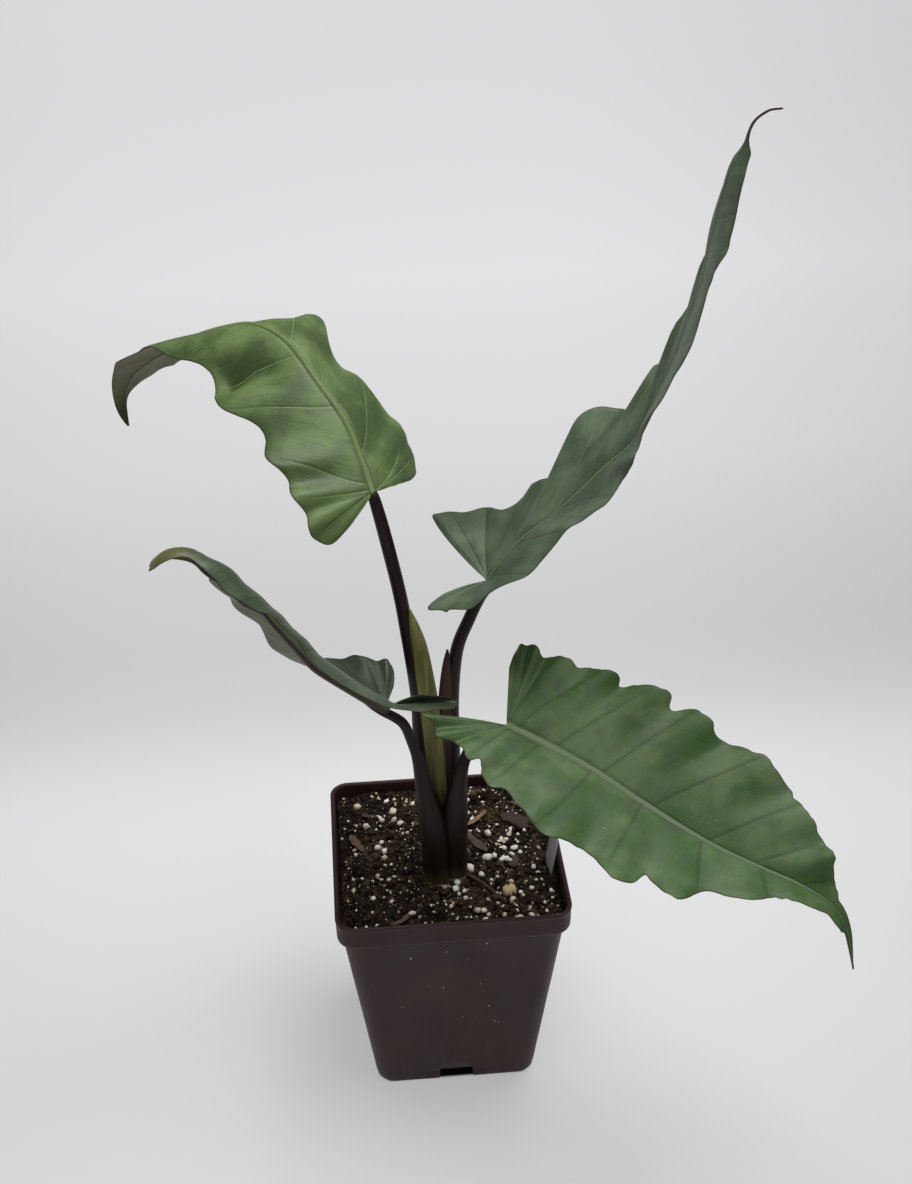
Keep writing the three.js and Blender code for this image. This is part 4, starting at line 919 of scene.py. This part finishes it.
                 [0.03, 63, 30, 66, 11], [0.1, 57, 32, 60, -3], [0.2, 51, 33, 52, -15], [0.29, 46, 33, 41, -24],
                 [0.38, 43, 31.5, 31, -29], [0.47, 44, 30, 31, -29], [0.56, 46, 28.5, 43, -46],
                 [0.65, 48, 30, 62, -56], [0.74, 52, 28, 64, -58], [0.83, 58, 20.5, 68, -44],
                 [0.9, 62, 18, 74, -66], [0.955, 60, 8.7, 40, -60], [1, 20, 0.8, 0, 0]],
        "right": [[0, 99, 14, 17, 12], [0, 92, 24, 13, 8], [0, 84, 26, 10, 5], [0, 76, 28, 2, -3],
                  [0.02, 68, 29, -3, -8], [0.08, 75, 30, -8, -18], [0.14, 81, 31, -12, -21], [0.2, 85, 31, -17, -18],
                  [0.27, 84, 27, -18, -18], [0.36, 72, 18, -24, -20], [0.44, 66, 16, -22, -17],
                  [0.52, 62, 16, -24, -16], [0.62, 57, 14, -14, -8], [0.7, 51, 12, -11, -4], [0.82, 44, 8, -5, 2],
                  [0.91, 35, 4, 0, 0], [0.95, 20, 1.2, 0, 0], [1, 20, 0.8, 0, 0]],
        "dips": {"left": [], "right": [2.7, 5, 8.3, 10.5, 13]},
        "edge": {
            "left": [19, 23.6, 28.2, 32, 34.2, 34.4, 33, 30.8, 29.2, 28.4, 26.9, 25.3, 26.2, 28, 28.8,
                     29.4, 30, 30.5, 31, 31.5, 32, 32.4, 32.9, 33.2, 33.4, 33.4, 33.3, 33.1, 32.9, 32.6,
                     32.2, 31.9, 31.5, 31.2, 30.9, 30.6, 30.3, 29.8, 29.3, 28.8, 28.6, 28.9, 29.4, 30,
                     30.2, 30.1, 29.7, 29.1, 28.1, 26.4, 24.3, 22.1, 20.4, 19.6, 19.4, 19.1, 18.2, 16.3,
                     13.8, 11.1, 7.4, 4.6, 2, 1.1, 0.7],
            "right": [12.5, 15.2, 17.9, 20.4, 22.3, 23.7, 24.7, 25.7, 26.7, 27, 26.7, 26.4, 26.7, 27.4,
                      28.1, 28.7, 29.3, 30.1, 30.2, 30, 30.6, 31.6, 32.5, 33.2, 32.8, 31.6, 31.2, 31.2,
                      30.6, 28.4, 24.4, 21.2, 18.9, 16.5, 15.2, 15.7, 16.5, 16.2, 15.3, 14.3, 13.1, 11.8,
                      11, 12.9, 17, 18.8, 17.2, 14.3, 11.9, 11.8, 13.5, 14.3, 11.5, 7, 3.8, 2.4, 1.9, 1.6,
                      1.4, 1.2, 1.1, 0.9, 0.7, 0.6, 0.6, 0.6, 0.6, 0.6, 0.6],
        },
        "wave": {"left": 0, "right": 3},
        "veins": {
            "left": [[0, 0], [1, 0.9], [2, 2], [3.4, 3.8], [5, 5.5], [6.6, 7.1], [8.2, 8.7], [9.8, 10.2],
                     [11.4, 11.7], [13, 13.2], [16, 16]],
            "right": [[0, 0], [1, 0.9], [2.3, 2.6], [3.3, 3.7], [4.9, 5.4], [6.5, 7], [8.1, 8.6], [9.7, 10.1],
                      [11.3, 11.6], [13, 13.2], [17, 17]],
        },
        "hollows": {"left": [], "right": []},
        "puff": 0.25,
        "steady": 0.08,
    },
    "lower_right": {
        "midrib": [[25, -45, 221], [38, -55, 219], [59, -70, 213], [78, -84, 205], [103, -102, 196],
                   [124, -115, 191], [136, -123, 189], [149, -129, 182], [155.2, -134, 172], [158.8, -138, 154]],
        "face": [[0, 0, -0.4, 0.92], [1, 0, -0.4, 0.92]],
        "left": [[0, 118, 29, 20, 20], [0, 107, 40, 20, 20], [0, 98, 39, 20, 20], [0.01, 82, 40, 20, 20],
                 [0.04, 71, 42, 20, 20], [0.09, 68, 45, 20, 20], [0.17, 68, 48, 20, 20], [0.27, 68, 51, 20, 20],
                 [0.38, 62, 50, 20, 20], [0.49, 52, 46, 20, 20], [0.6, 42, 34, 20, 20], [0.7, 38, 22, 20, 20],
                 [0.79, 40, 13, 15, 15], [0.88, 40, 7, 10, 10], [1, 30, 0.8, 0, 0]],
        "right": [[0, 153, 30, 20, 20], [0, 143, 37, 20, 20], [0, 127, 35, 20, 20], [0, 112, 31, 20, 20],
                  [0.02, 96, 33, 20, 20], [0.08, 91, 40, 20, 20], [0.17, 87, 46, 20, 20], [0.27, 83, 48, 20, 20],
                  [0.38, 78, 47, 20, 20], [0.49, 72, 38, 20, 20], [0.6, 66, 27, 20, 20], [0.7, 62, 20, 20, 20],
                  [0.79, 55, 12, 15, 15], [0.88, 45, 6, 10, 10], [1, 30, 0.8, 0, 0]],
        "dips": {"left": [1.6, 2.5, 4, 5.4, 6.6, 7.7, 9, 10.4, 11.6], "right": [1.4, 2.6, 4.2, 6, 7.3, 8.4, 9.5, 11]},
        "edge": {
            "left": [27, 30, 33, 35, 37, 38.3, 37.8, 37.4, 37.1, 37, 37.4, 38.5, 39.4, 39.6, 39.1, 38.4, 37.9,
                     37.3, 35.5, 34.6, 35.5, 36.6, 37, 37.9, 38.3, 38.4, 38.7, 39.1, 38.9, 38.1, 38, 39.9, 41.3,
                     41.5, 41.9, 42, 42.1, 43, 43.9, 44.3, 44.3, 43, 40.3, 41.2, 44.2, 44.7, 45.8, 46.7, 47.6,
                     47.9, 48.9, 48, 43.9, 43.1, 47.2, 49.3, 49.1, 49.5, 48.9, 46.3, 45.2, 45.6, 46, 47.6, 48.3,
                     48.4, 50.2, 50.1, 48.8, 48.2, 47.2, 46.4, 45.7, 43.4, 42.9, 41.9, 40.5, 39.5, 38.1, 37.1,
                     35.4, 33.1, 31.8, 30.6, 29.1, 28, 27, 26, 24.4, 22.7, 19.4, 17.2, 15.4, 13.6, 12.1, 10.4,
                     8.8, 7.7, 6, 4.7, 4.4, 4.1, 3.8, 3.4, 3.1, 2.8, 2.4, 2.1, 1.7, 1.4, 1, 0.7, 0.6],
            "right": [31, 32.5, 33.8, 35.2, 36.5, 37.4, 38.2, 37, 33.7, 32.9, 31.8, 31.9, 32.2, 32.5, 33, 33.5,
                      33.5, 33.2, 30.4, 27.4, 26.3, 25.7, 25.6, 25.8, 26, 26.3, 26.5, 26.8, 27.3, 28.5, 29.1,
                      28.5, 25.1, 25.2, 27.2, 28.9, 31.8, 33.9, 35.7, 37.7, 39.1, 38.7, 36.4, 36.2, 37, 38.3,
                      38.3, 38.7, 40.1, 41.6, 43.9, 46.3, 47.8, 47.6, 45.8, 43.8, 41.8, 40.7, 39.4, 39.8, 41,
                      43.8, 46.1, 47.8, 46.7, 44.1, 40.4, 33.8, 35, 36.8, 39.1, 39.7, 39.9, 36.6, 31.3, 27.1,
                      25, 24.5, 24.7, 24.5, 24.2, 23.7, 22.7, 21.2, 19.4, 17.2, 15.5, 13.9, 13.7, 12.1, 12.2,
                      11.3, 10.9, 10.6, 10, 9.3, 8.5, 7.6, 7.1, 7.3, 7.2, 6.7, 5.9, 5, 4.2, 2.3, 2, 1.8, 1.5,
                      1.2, 0.9, 0.6, 0.6],
        },
        "wave": {"left": 12, "right": 14},
        "veins": {
            "left": [[0, 0], [1, 1], [2.4, 2.9], [3.6, 4.6], [5.5, 6.0], [6.8, 6.85], [8.05, 8.3], [9.35, 9.3],
                     [10.4, 10.5], [11.6, 11.7], [14, 14]],
            "right": [[0, 0], [1, 0.9], [2.2, 2.2], [3.7, 3.8], [5.14, 4.95], [6.6, 6.2], [7.85, 7.7], [9.25, 9.3],
                      [10.6, 10.7], [13, 13], [14, 14]],
        },
        "hollows": {"left": [], "right": []},
        "puff": 0.22,
    },
}
# Colours of a blade: body, second green, veins, midrib, underside, underside rib, tip, from 0 to 255.
leaf_colours = {
    "upper_left": [(60, 80, 36), (92, 114, 62), (128, 148, 90), (106, 124, 72), (80, 80, 44), (40, 26, 20),
                   (62, 66, 34)],
    "tall_right": [(58, 74, 50), (86, 102, 78), (102, 118, 90), (96, 110, 84), (74, 96, 50), (44, 28, 22),
                   (74, 46, 28)],
    "lower_left": [(54, 66, 46), (76, 88, 68), (92, 102, 70), (84, 92, 58), (84, 86, 60), (46, 28, 26),
                   (96, 92, 44)],
    # lower_right's vein colour is darker than its greens: painted shade of its vein furrows.
    "lower_right": [(48, 78, 28), (80, 102, 62), (34, 46, 24), (92, 106, 76), (84, 84, 60), (50, 34, 28),
                    (72, 88, 52)],
}
# Of a blade: half width of a vein's line, how strong the fine streaks are, how strong the clouding is, half width
# of the dark rib below, in mm, the least roughness, and the part of the way where its tip starts to change.
leaf_marks = {"upper_left": [0.15, 0.5, 0.35, 0.8, 0.46, 0.9], "tall_right": [0.13, 0.35, 0.5, 2.0, 0.5, 0.92],
              "lower_left": [0.13, 0.35, 0.5, 2.0, 0.42, 0.78], "lower_right": [0.11, 0.18, 0.9, 2.0, 0.52, 0.9]}
blade_half = 0.35
margin_half = 0.17
row_gap = 0.8
near_columns = 8
far_columns = 27
near_reach = 3.4
rib_height = 0.65
rib_depth = (2.3, 0.2)


def curve_at(points, parts):
    """Catmull-Rom curve through points, read by part of its length."""
    line = between(points, np.arange((len(points) - 1) * 16 + 1) / 16)
    far = np.concatenate([[0], np.cumsum(np.linalg.norm(np.diff(line, axis=0), axis=1))])
    return np.stack([np.interp(np.clip(parts, 0, 1) * far[-1], far, line[:, k]) for k in range(3)], -1)


def midrib_frame(leaf, parts):
    """Place, forward, upper side and right along a midrib; forward is taken over steady parts each way."""
    steady = leaf.get("steady", 0.02)
    forward = unit(curve_at(leaf["midrib"], parts + steady) - curve_at(leaf["midrib"], parts - steady))
    face = np.array(leaf["face"], float)
    up = np.stack([np.interp(parts, face[:, 0], face[:, k]) for k in (1, 2, 3)], -1)
    up = unit(up - forward * (up * forward).sum(-1, keepdims=True))
    return curve_at(leaf["midrib"], parts), forward, up, np.cross(forward, up)


def dip_at(dips, x):
    """1 at a notch, 0 midway to the next: (0.5 + 0.5 cos(2 pi u))^1.3, u from one notch to the next."""
    if not dips:
        return 0 * x
    spots = np.array(dips, float)
    i = np.clip(np.searchsorted(spots, x), 1, len(spots) - 1)
    u = (x - spots[i - 1]) / (spots[i] - spots[i - 1])
    u = np.where(x <= spots[0], (spots[0] - x) / 1.2, np.where(x >= spots[-1], (x - spots[-1]) / 1.2, u))
    return (0.5 + 0.5 * np.cos(2 * np.pi * np.clip(u, 0, 1))) ** 1.3


def half_surface(leaf, side, x, columns):
    """Points of one half: row x of the list, columns 0 to 1 near the midrib and 1 to 2 from there to the margin.
    A row leaves the midrib at its angle and bends evenly from its first rise s to its last, s + b, over its own
    length: (sin(s + b v) - sin s) / b out and (cos s - cos(s + b v)) / b up. Returns points, mm out and reach."""
    t, angle, length, rise0, rise1 = between(leaf[side], x)[:, :, None].transpose(1, 0, 2)
    edge = np.array(leaf["edge"][side])[:, None]
    reach = np.maximum(between(edge, x / (len(leaf[side]) - 1) * (len(edge) - 1)), 0.5)
    rise1 = rise1 - leaf["wave"][side] * dip_at(leaf["dips"][side], x)[:, None]
    place, forward, up, right = midrib_frame(leaf, np.clip(t[:, 0], 0, 1))
    sign = 1 if side == "right" else -1
    out = forward * np.cos(np.radians(angle)) + sign * right * np.sin(np.radians(angle))
    start, bend = np.radians(rise0), np.radians(rise1 - rise0)
    bend = np.where(np.abs(bend) < 1e-4, 1e-4, bend)
    near = np.minimum(near_reach, 0.35 * reach)
    far = np.where(columns <= 1, columns * near, near + (columns - 1) * (reach - near))
    v = far / length
    go = length * (np.sin(start + bend * v) - np.sin(start)) / bend
    lift = length * (np.cos(start) - np.cos(start + bend * v)) / bend
    return place[:, None] + out[:, None] * go[..., None] + up[:, None] * lift[..., None], far, reach + 0 * far


def hollow_at(hollows, x, v):
    """Depth of the hollows at row x and part v of the way out: each is d exp(-((x - a) / p)^2 - ((v - b) / q)^2)."""
    depth = 0 * v
    for a, b, p, q, d in hollows:
        depth = depth + d * np.exp(-((x - a) / p) ** 2 - ((v - b) / q) ** 2)
    return depth


def vein_place(veins, x, v):
    """Counts the veins: whole numbers on a vein, even steps between. Vein k lies at s + (e - s) v^1.4."""
    start, end = np.array(veins, float).T
    lines = start[None, :] + (end - start)[None, :] * v.reshape(-1, 1) ** 1.4
    flat = (x[:, None] + 0 * v).ravel()
    k = np.clip((lines <= flat[:, None]).sum(1), 1, len(start) - 1)
    pick = np.arange(len(flat))
    a, b = lines[pick, k - 1], lines[pick, k]
    return (k - 1 + np.clip((flat - a) / np.maximum(b - a, 1e-6), 0, 1)).reshape(v.shape)


def side_normals(points, faces):
    """Point normals from the faces that meet there."""
    n = np.zeros_like(points)
    a, b, c = (points[faces[:, k]] for k in range(3))
    flat = np.cross(b - a, c - a)
    for k in range(3):
        np.add.at(n, faces[:, k], flat)
    return unit(n)


def leaf_mesh(leaf):
    """One sheet over both halves, given relief and thickness, with a rounded rim. f is the part of the way to the
    nearest vein, 1 midway, d the mm to it, and r the mm to the midrib. Puff: p (f^0.7 - 0.45). Furrow:
    0.16 exp(-(d / 0.7)^2). Rib above: exp(-(r / 0.95)^2) less a trough. Keel below: k sqrt(1 - (r / h)^2)."""
    columns = np.concatenate([np.arange(1, near_columns + 1) / near_columns,
                              1 + np.arange(1, far_columns + 1) / far_columns])
    width = len(columns)
    fine = {}
    for side in ("left", "right"):
        x = np.linspace(0, len(leaf[side]) - 1, 3000)
        t = np.clip(between(leaf[side], x)[:, 0], 0, 1)
        line = half_surface(leaf, side, x, np.array([[1.7]]))[0][:, 0]
        far = np.concatenate([[0], np.cumsum(np.linalg.norm(np.diff(line, axis=0), axis=1))])
        first = int(np.argmax(t > 1e-4)) - 1
        fine[side] = {"x": x, "t": t, "far": far, "first": first}
    parts = np.linspace(0, 1, 3000)
    lines = [np.interp(parts, f["t"][f["first"]:] + 1e-9 * np.arange(3000 - f["first"]), f["far"][f["first"]:])
             for f in fine.values()]
    longest = max(line[-1] - line[0] for line in lines)
    travel = (lines[0] - lines[0][0]) + (lines[1] - lines[1][0]) + 0.3 * parts * longest
    count = int(longest / row_gap)
    shared = np.interp(np.linspace(0, travel[-1], count + 1), travel, parts)
    middle, forward, up, right = midrib_frame(leaf, shared)
    points = [middle]
    marks = [np.column_stack([0 * shared, 60 + 0 * shared, shared, 0 * shared, 1 + 0 * shared])]
    sunk = [0 * shared]
    total = len(middle)
    triangles, rim = [], []
    for side in ("left", "right"):
        f = fine[side]
        fans = max(int(f["far"][f["first"]] / row_gap), 3)
        fan = np.interp(np.linspace(0, f["far"][f["first"]], fans + 1)[:-1], f["far"], f["x"])
        rest = np.interp(shared, f["t"][f["first"]:] + 1e-9 * np.arange(3000 - f["first"]), f["x"][f["first"]:])
        x = np.concatenate([fan, rest])
        spots, out, reach = half_surface(leaf, side, x, columns[None, :])
        count_rows = len(x)
        q = vein_place(leaf["veins"][side], x, out / reach)
        along = np.gradient(spots, axis=0)
        step = np.linalg.norm(along, axis=-1)
        turn = np.abs(np.gradient(q, axis=0))
        pitch = np.clip(step / np.maximum(turn, 1e-4), 0.5, 30)
        part = np.concatenate([0 * fan, shared])[:, None] + 0 * out
        points.append(spots.reshape(-1, 3))
        marks.append(np.stack([out, reach - out, part, q, pitch], -1).reshape(-1, 5))
        sunk.append(hollow_at(leaf["hollows"][side], x[:, None], out / reach).ravel())
        ids = total + np.arange(count_rows * width).reshape(count_rows, width)
        spine = np.concatenate([np.zeros(fans, int), np.arange(count + 1)])
        a, b, c, d = ids[:-1, :-1], ids[:-1, 1:], ids[1:, 1:], ids[1:, :-1]
        own = [np.stack([a, b, c], -1).reshape(-1, 3), np.stack([a, c, d], -1).reshape(-1, 3),
               np.stack([spine[:-1], ids[:-1, 0], ids[1:, 0]], -1),
               np.stack([spine[:-1], ids[1:, 0], spine[1:]], -1)[fans:]]
        own = np.vstack(own)
        triangles.append(own if side == "right" else own[:, ::-1])
        rim.append(np.concatenate([ids[0, :-1], ids[:, -1], ids[-1, -2::-1]]))
        total += count_rows * width
    points, marks, faces = np.vstack(points), np.vstack(marks), np.vstack(triangles)
    rib, edge, part, q, pitch = marks.T
    between_veins = np.abs(q - np.round(q)) * 2
    calm = ease(0.5, 5.0, rib) * ease(0.2, 4.0, edge)
    puff = leaf["puff"] * (np.minimum(pitch, 14) / 14) * (between_veins ** 0.7 - 0.45) * calm
    puff = puff - np.concatenate(sunk) * ease(0.0, 6.0, edge)
    points = points + side_normals(points, faces) * puff[:, None]
    normals = side_normals(points, faces)
    slim = 0.35 + 0.65 * (1 - part)
    trough = 0.6 * np.exp(-((rib - 2.1 * slim) / (0.8 * slim)) ** 2)
    ridge = rib_height * slim * (np.exp(-(rib / (0.95 * slim)) ** 2) - trough)
    furrow = np.abs(q - np.round(q)) * pitch
    groove = 0.16 * np.exp(-(furrow / 0.7) ** 2) * ease(0.6, 2.5, rib) * ease(0.3, 3.0, edge)
    deep = rib_depth[1] + (rib_depth[0] - rib_depth[1]) * (1 - part) ** 1.3
    half = 0.3 + 0.9 * deep
    keel = deep * np.sqrt(np.clip(1 - (rib / half) ** 2, 0, 1)) * ease(0.0, 0.02, part + 0.02)
    body = margin_half + (blade_half - margin_half) * ease(0, 3.0, edge)
    top = points + normals * (body + ridge - groove)[:, None]
    bottom = points - normals * (body + keel + 0.9 * groove)[:, None]
    loop = np.concatenate([[0], rim[1], [count], rim[0][::-1]])
    ahead = unit(np.roll(points[loop], -1, 0) - np.roll(points[loop], 1, 0))
    outward = unit(np.cross(ahead, normals[loop]))
    brim = points[loop] + outward * margin_half * 0.9
    n = len(points)
    k = np.arange(len(loop))
    nxt = np.roll(k, -1)
    upper = np.stack([loop, 2 * n + k, 2 * n + nxt, loop[nxt]], -1)
    lower = np.stack([2 * n + k, n + loop, n + loop[nxt], 2 * n + nxt], -1)
    everything = np.vstack([top, bottom, brim])
    tags = np.vstack([np.column_stack([marks, 0 * rib]), np.column_stack([marks, 1 + 0 * rib]),
                      np.column_stack([marks[loop], 0.5 + 0 * k])])
    return everything, np.vstack([faces, n + faces[:, ::-1]]), np.vstack([upper, lower]), tags


def leaf_finish(name, colours, marks, seed):
    """Waxy leaf skin: veins counted by the vein mark, painted shade beside each vein and in the troughs beside the
    midrib, streaks that run with the veins, clouded greens with pale flecks, a dark thin margin, a plain underside
    with a dark rib, a brown tip."""
    body, second, vein, rib_tone, under_tone, under_rib, tip = (rgb(*c) for c in colours)
    vein_half, streaky, cloudy, rib_dark, smooth, tip_from = marks
    made, tree, shader, where = finish_of(name)
    mark = {key: add(tree, "Attribute", attribute_name=key).outputs["Fac"]
            for key in ("rib", "edge", "part", "vein", "pitch", "under")}
    off = sums(tree, "ABSOLUTE", sums(tree, "SUBTRACT", sums(tree, "FRACT", sums(tree, "ADD", mark["vein"], 0.5)), 0.5))
    away = sums(tree, "MULTIPLY", off, mark["pitch"])
    flow = add(tree, "CombineXYZ", {0: sums(tree, "MULTIPLY", mark["vein"], 9.0),
                                    1: sums(tree, "MULTIPLY", mark["rib"], 0.05), 2: float(seed)}).outputs[0]
    streak = noise(tree, flow, 2.2, 3, 0.6)
    slim = sums(tree, "SUBTRACT", 1.0, sums(tree, "MULTIPLY", mark["part"], 0.65))
    ridge = sums(tree, "DIVIDE", mark["rib"], slim)
    cloud = noise(tree, where, 38, 4, 0.55)
    blotch = noise(tree, where, 130, 3, 0.6)
    fine = noise(tree, where, 900, 3, 0.6)
    fleck = noise(tree, where, 420, 1, 0.5)
    shade = mixed(tree, spread(tree, cloud, 0.38, 0.64), body, second)
    dark = mixed(tree, 1.0, shade, (0.5, 0.55, 0.48, 1), "MULTIPLY")
    grey = mixed(tree, 0.45, shade, rgb(62, 66, 58))
    shade = mixed(tree, spread(tree, blotch, 0.48, 0.68, 0, cloudy), shade, grey)
    shade = mixed(tree, spread(tree, streak, 0.45, 0.7, 0, streaky), shade, dark)
    # Darker within a few mm of each vein: painted shade of the vein furrows.
    shade = mixed(tree, spread(tree, away, 2.4, 0.4, 0, 0.35), shade, dark)
    shade = mixed(tree, spread(tree, fine, 0.56, 0.74, 0, 0.3), shade, second)
    shade = mixed(tree, spread(tree, fleck, 0.75, 0.79, 0, 0.22), shade, rgb(150, 160, 124))
    fade = spread(tree, mark["edge"], 2.0, 12.0, 0.15, 0.95)
    # Dark lines beside each vein, fading toward the margin: painted shadow of the vein furrows.
    near = spread(tree, away, 3.2 * vein_half, 1.2 * vein_half)
    shade = mixed(tree, sums(tree, "MULTIPLY", near, sums(tree, "MULTIPLY", fade, 0.6)), shade, dark)
    line = spread(tree, away, 1.5 * vein_half, 0.8 * vein_half)
    shade = mixed(tree, sums(tree, "MULTIPLY", line, fade), shade, vein)
    # Dark bands in the troughs beside the midrib: painted shade.
    shade = mixed(tree, spread(tree, ridge, 2.7, 1.9, 0, 0.75), shade, dark)
    shade = mixed(tree, spread(tree, ridge, 1.55, 1.15), shade, rib_tone)
    shade = mixed(tree, spread(tree, ridge, 0.35, 0.1, 0, 0.35), shade, dark)
    back = mixed(tree, spread(tree, cloud, 0.35, 0.7), under_tone, mixed(tree, 0.25, under_tone, second))
    back = mixed(tree, spread(tree, away, 0.5, 0.25, 0, 0.35), back, under_rib)
    back = mixed(tree, spread(tree, ridge, 1.2 * rib_dark, 0.85 * rib_dark, 0, 0.9), back, under_rib)
    shade = mixed(tree, sums(tree, "GREATER_THAN", mark["under"], 0.6), shade, back)
    shade = mixed(tree, spread(tree, mark["edge"], 0.5, 0.12, 0, 0.8), shade, rgb(50, 36, 24))
    shade = mixed(tree, spread(tree, mark["part"], tip_from, 0.97), shade, tip)
    shade = mixed(tree, spread(tree, mark["part"], 0.965, 0.985), shade, rgb(70, 42, 32))
    rough = spread(tree, cloud, 0.3, 0.7, smooth, smooth + 0.12)
    relief = sums(tree, "ADD", sums(tree, "MULTIPLY", streak, streaky * 2), sums(tree, "MULTIPLY", fine, 0.4))
    plug(tree, shader, colour=shade, roughness=rough, height=relief, strength=0.5, depth=0.25 * mm)
    shader.inputs["Specular IOR Level"].default_value = 0.4
    return made


for seed, (name, leaf) in enumerate(leaves.items()):
    points, triangles, quads, tags = leaf_mesh(leaf)
    piece = build("leaf_" + name, mm * points, triangles, quads)
    for column, key in enumerate(("rib", "edge", "part", "vein", "pitch", "under")):
        mark = piece.data.attributes.new(key, "FLOAT", "POINT")
        mark.data.foreach_set("value", tags[:, column].astype(np.float32))
    piece.data.materials.append(leaf_finish("leaf_" + name, leaf_colours[name], leaf_marks[name], seed))
    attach(piece, "root")
    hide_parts("blade_" + name)
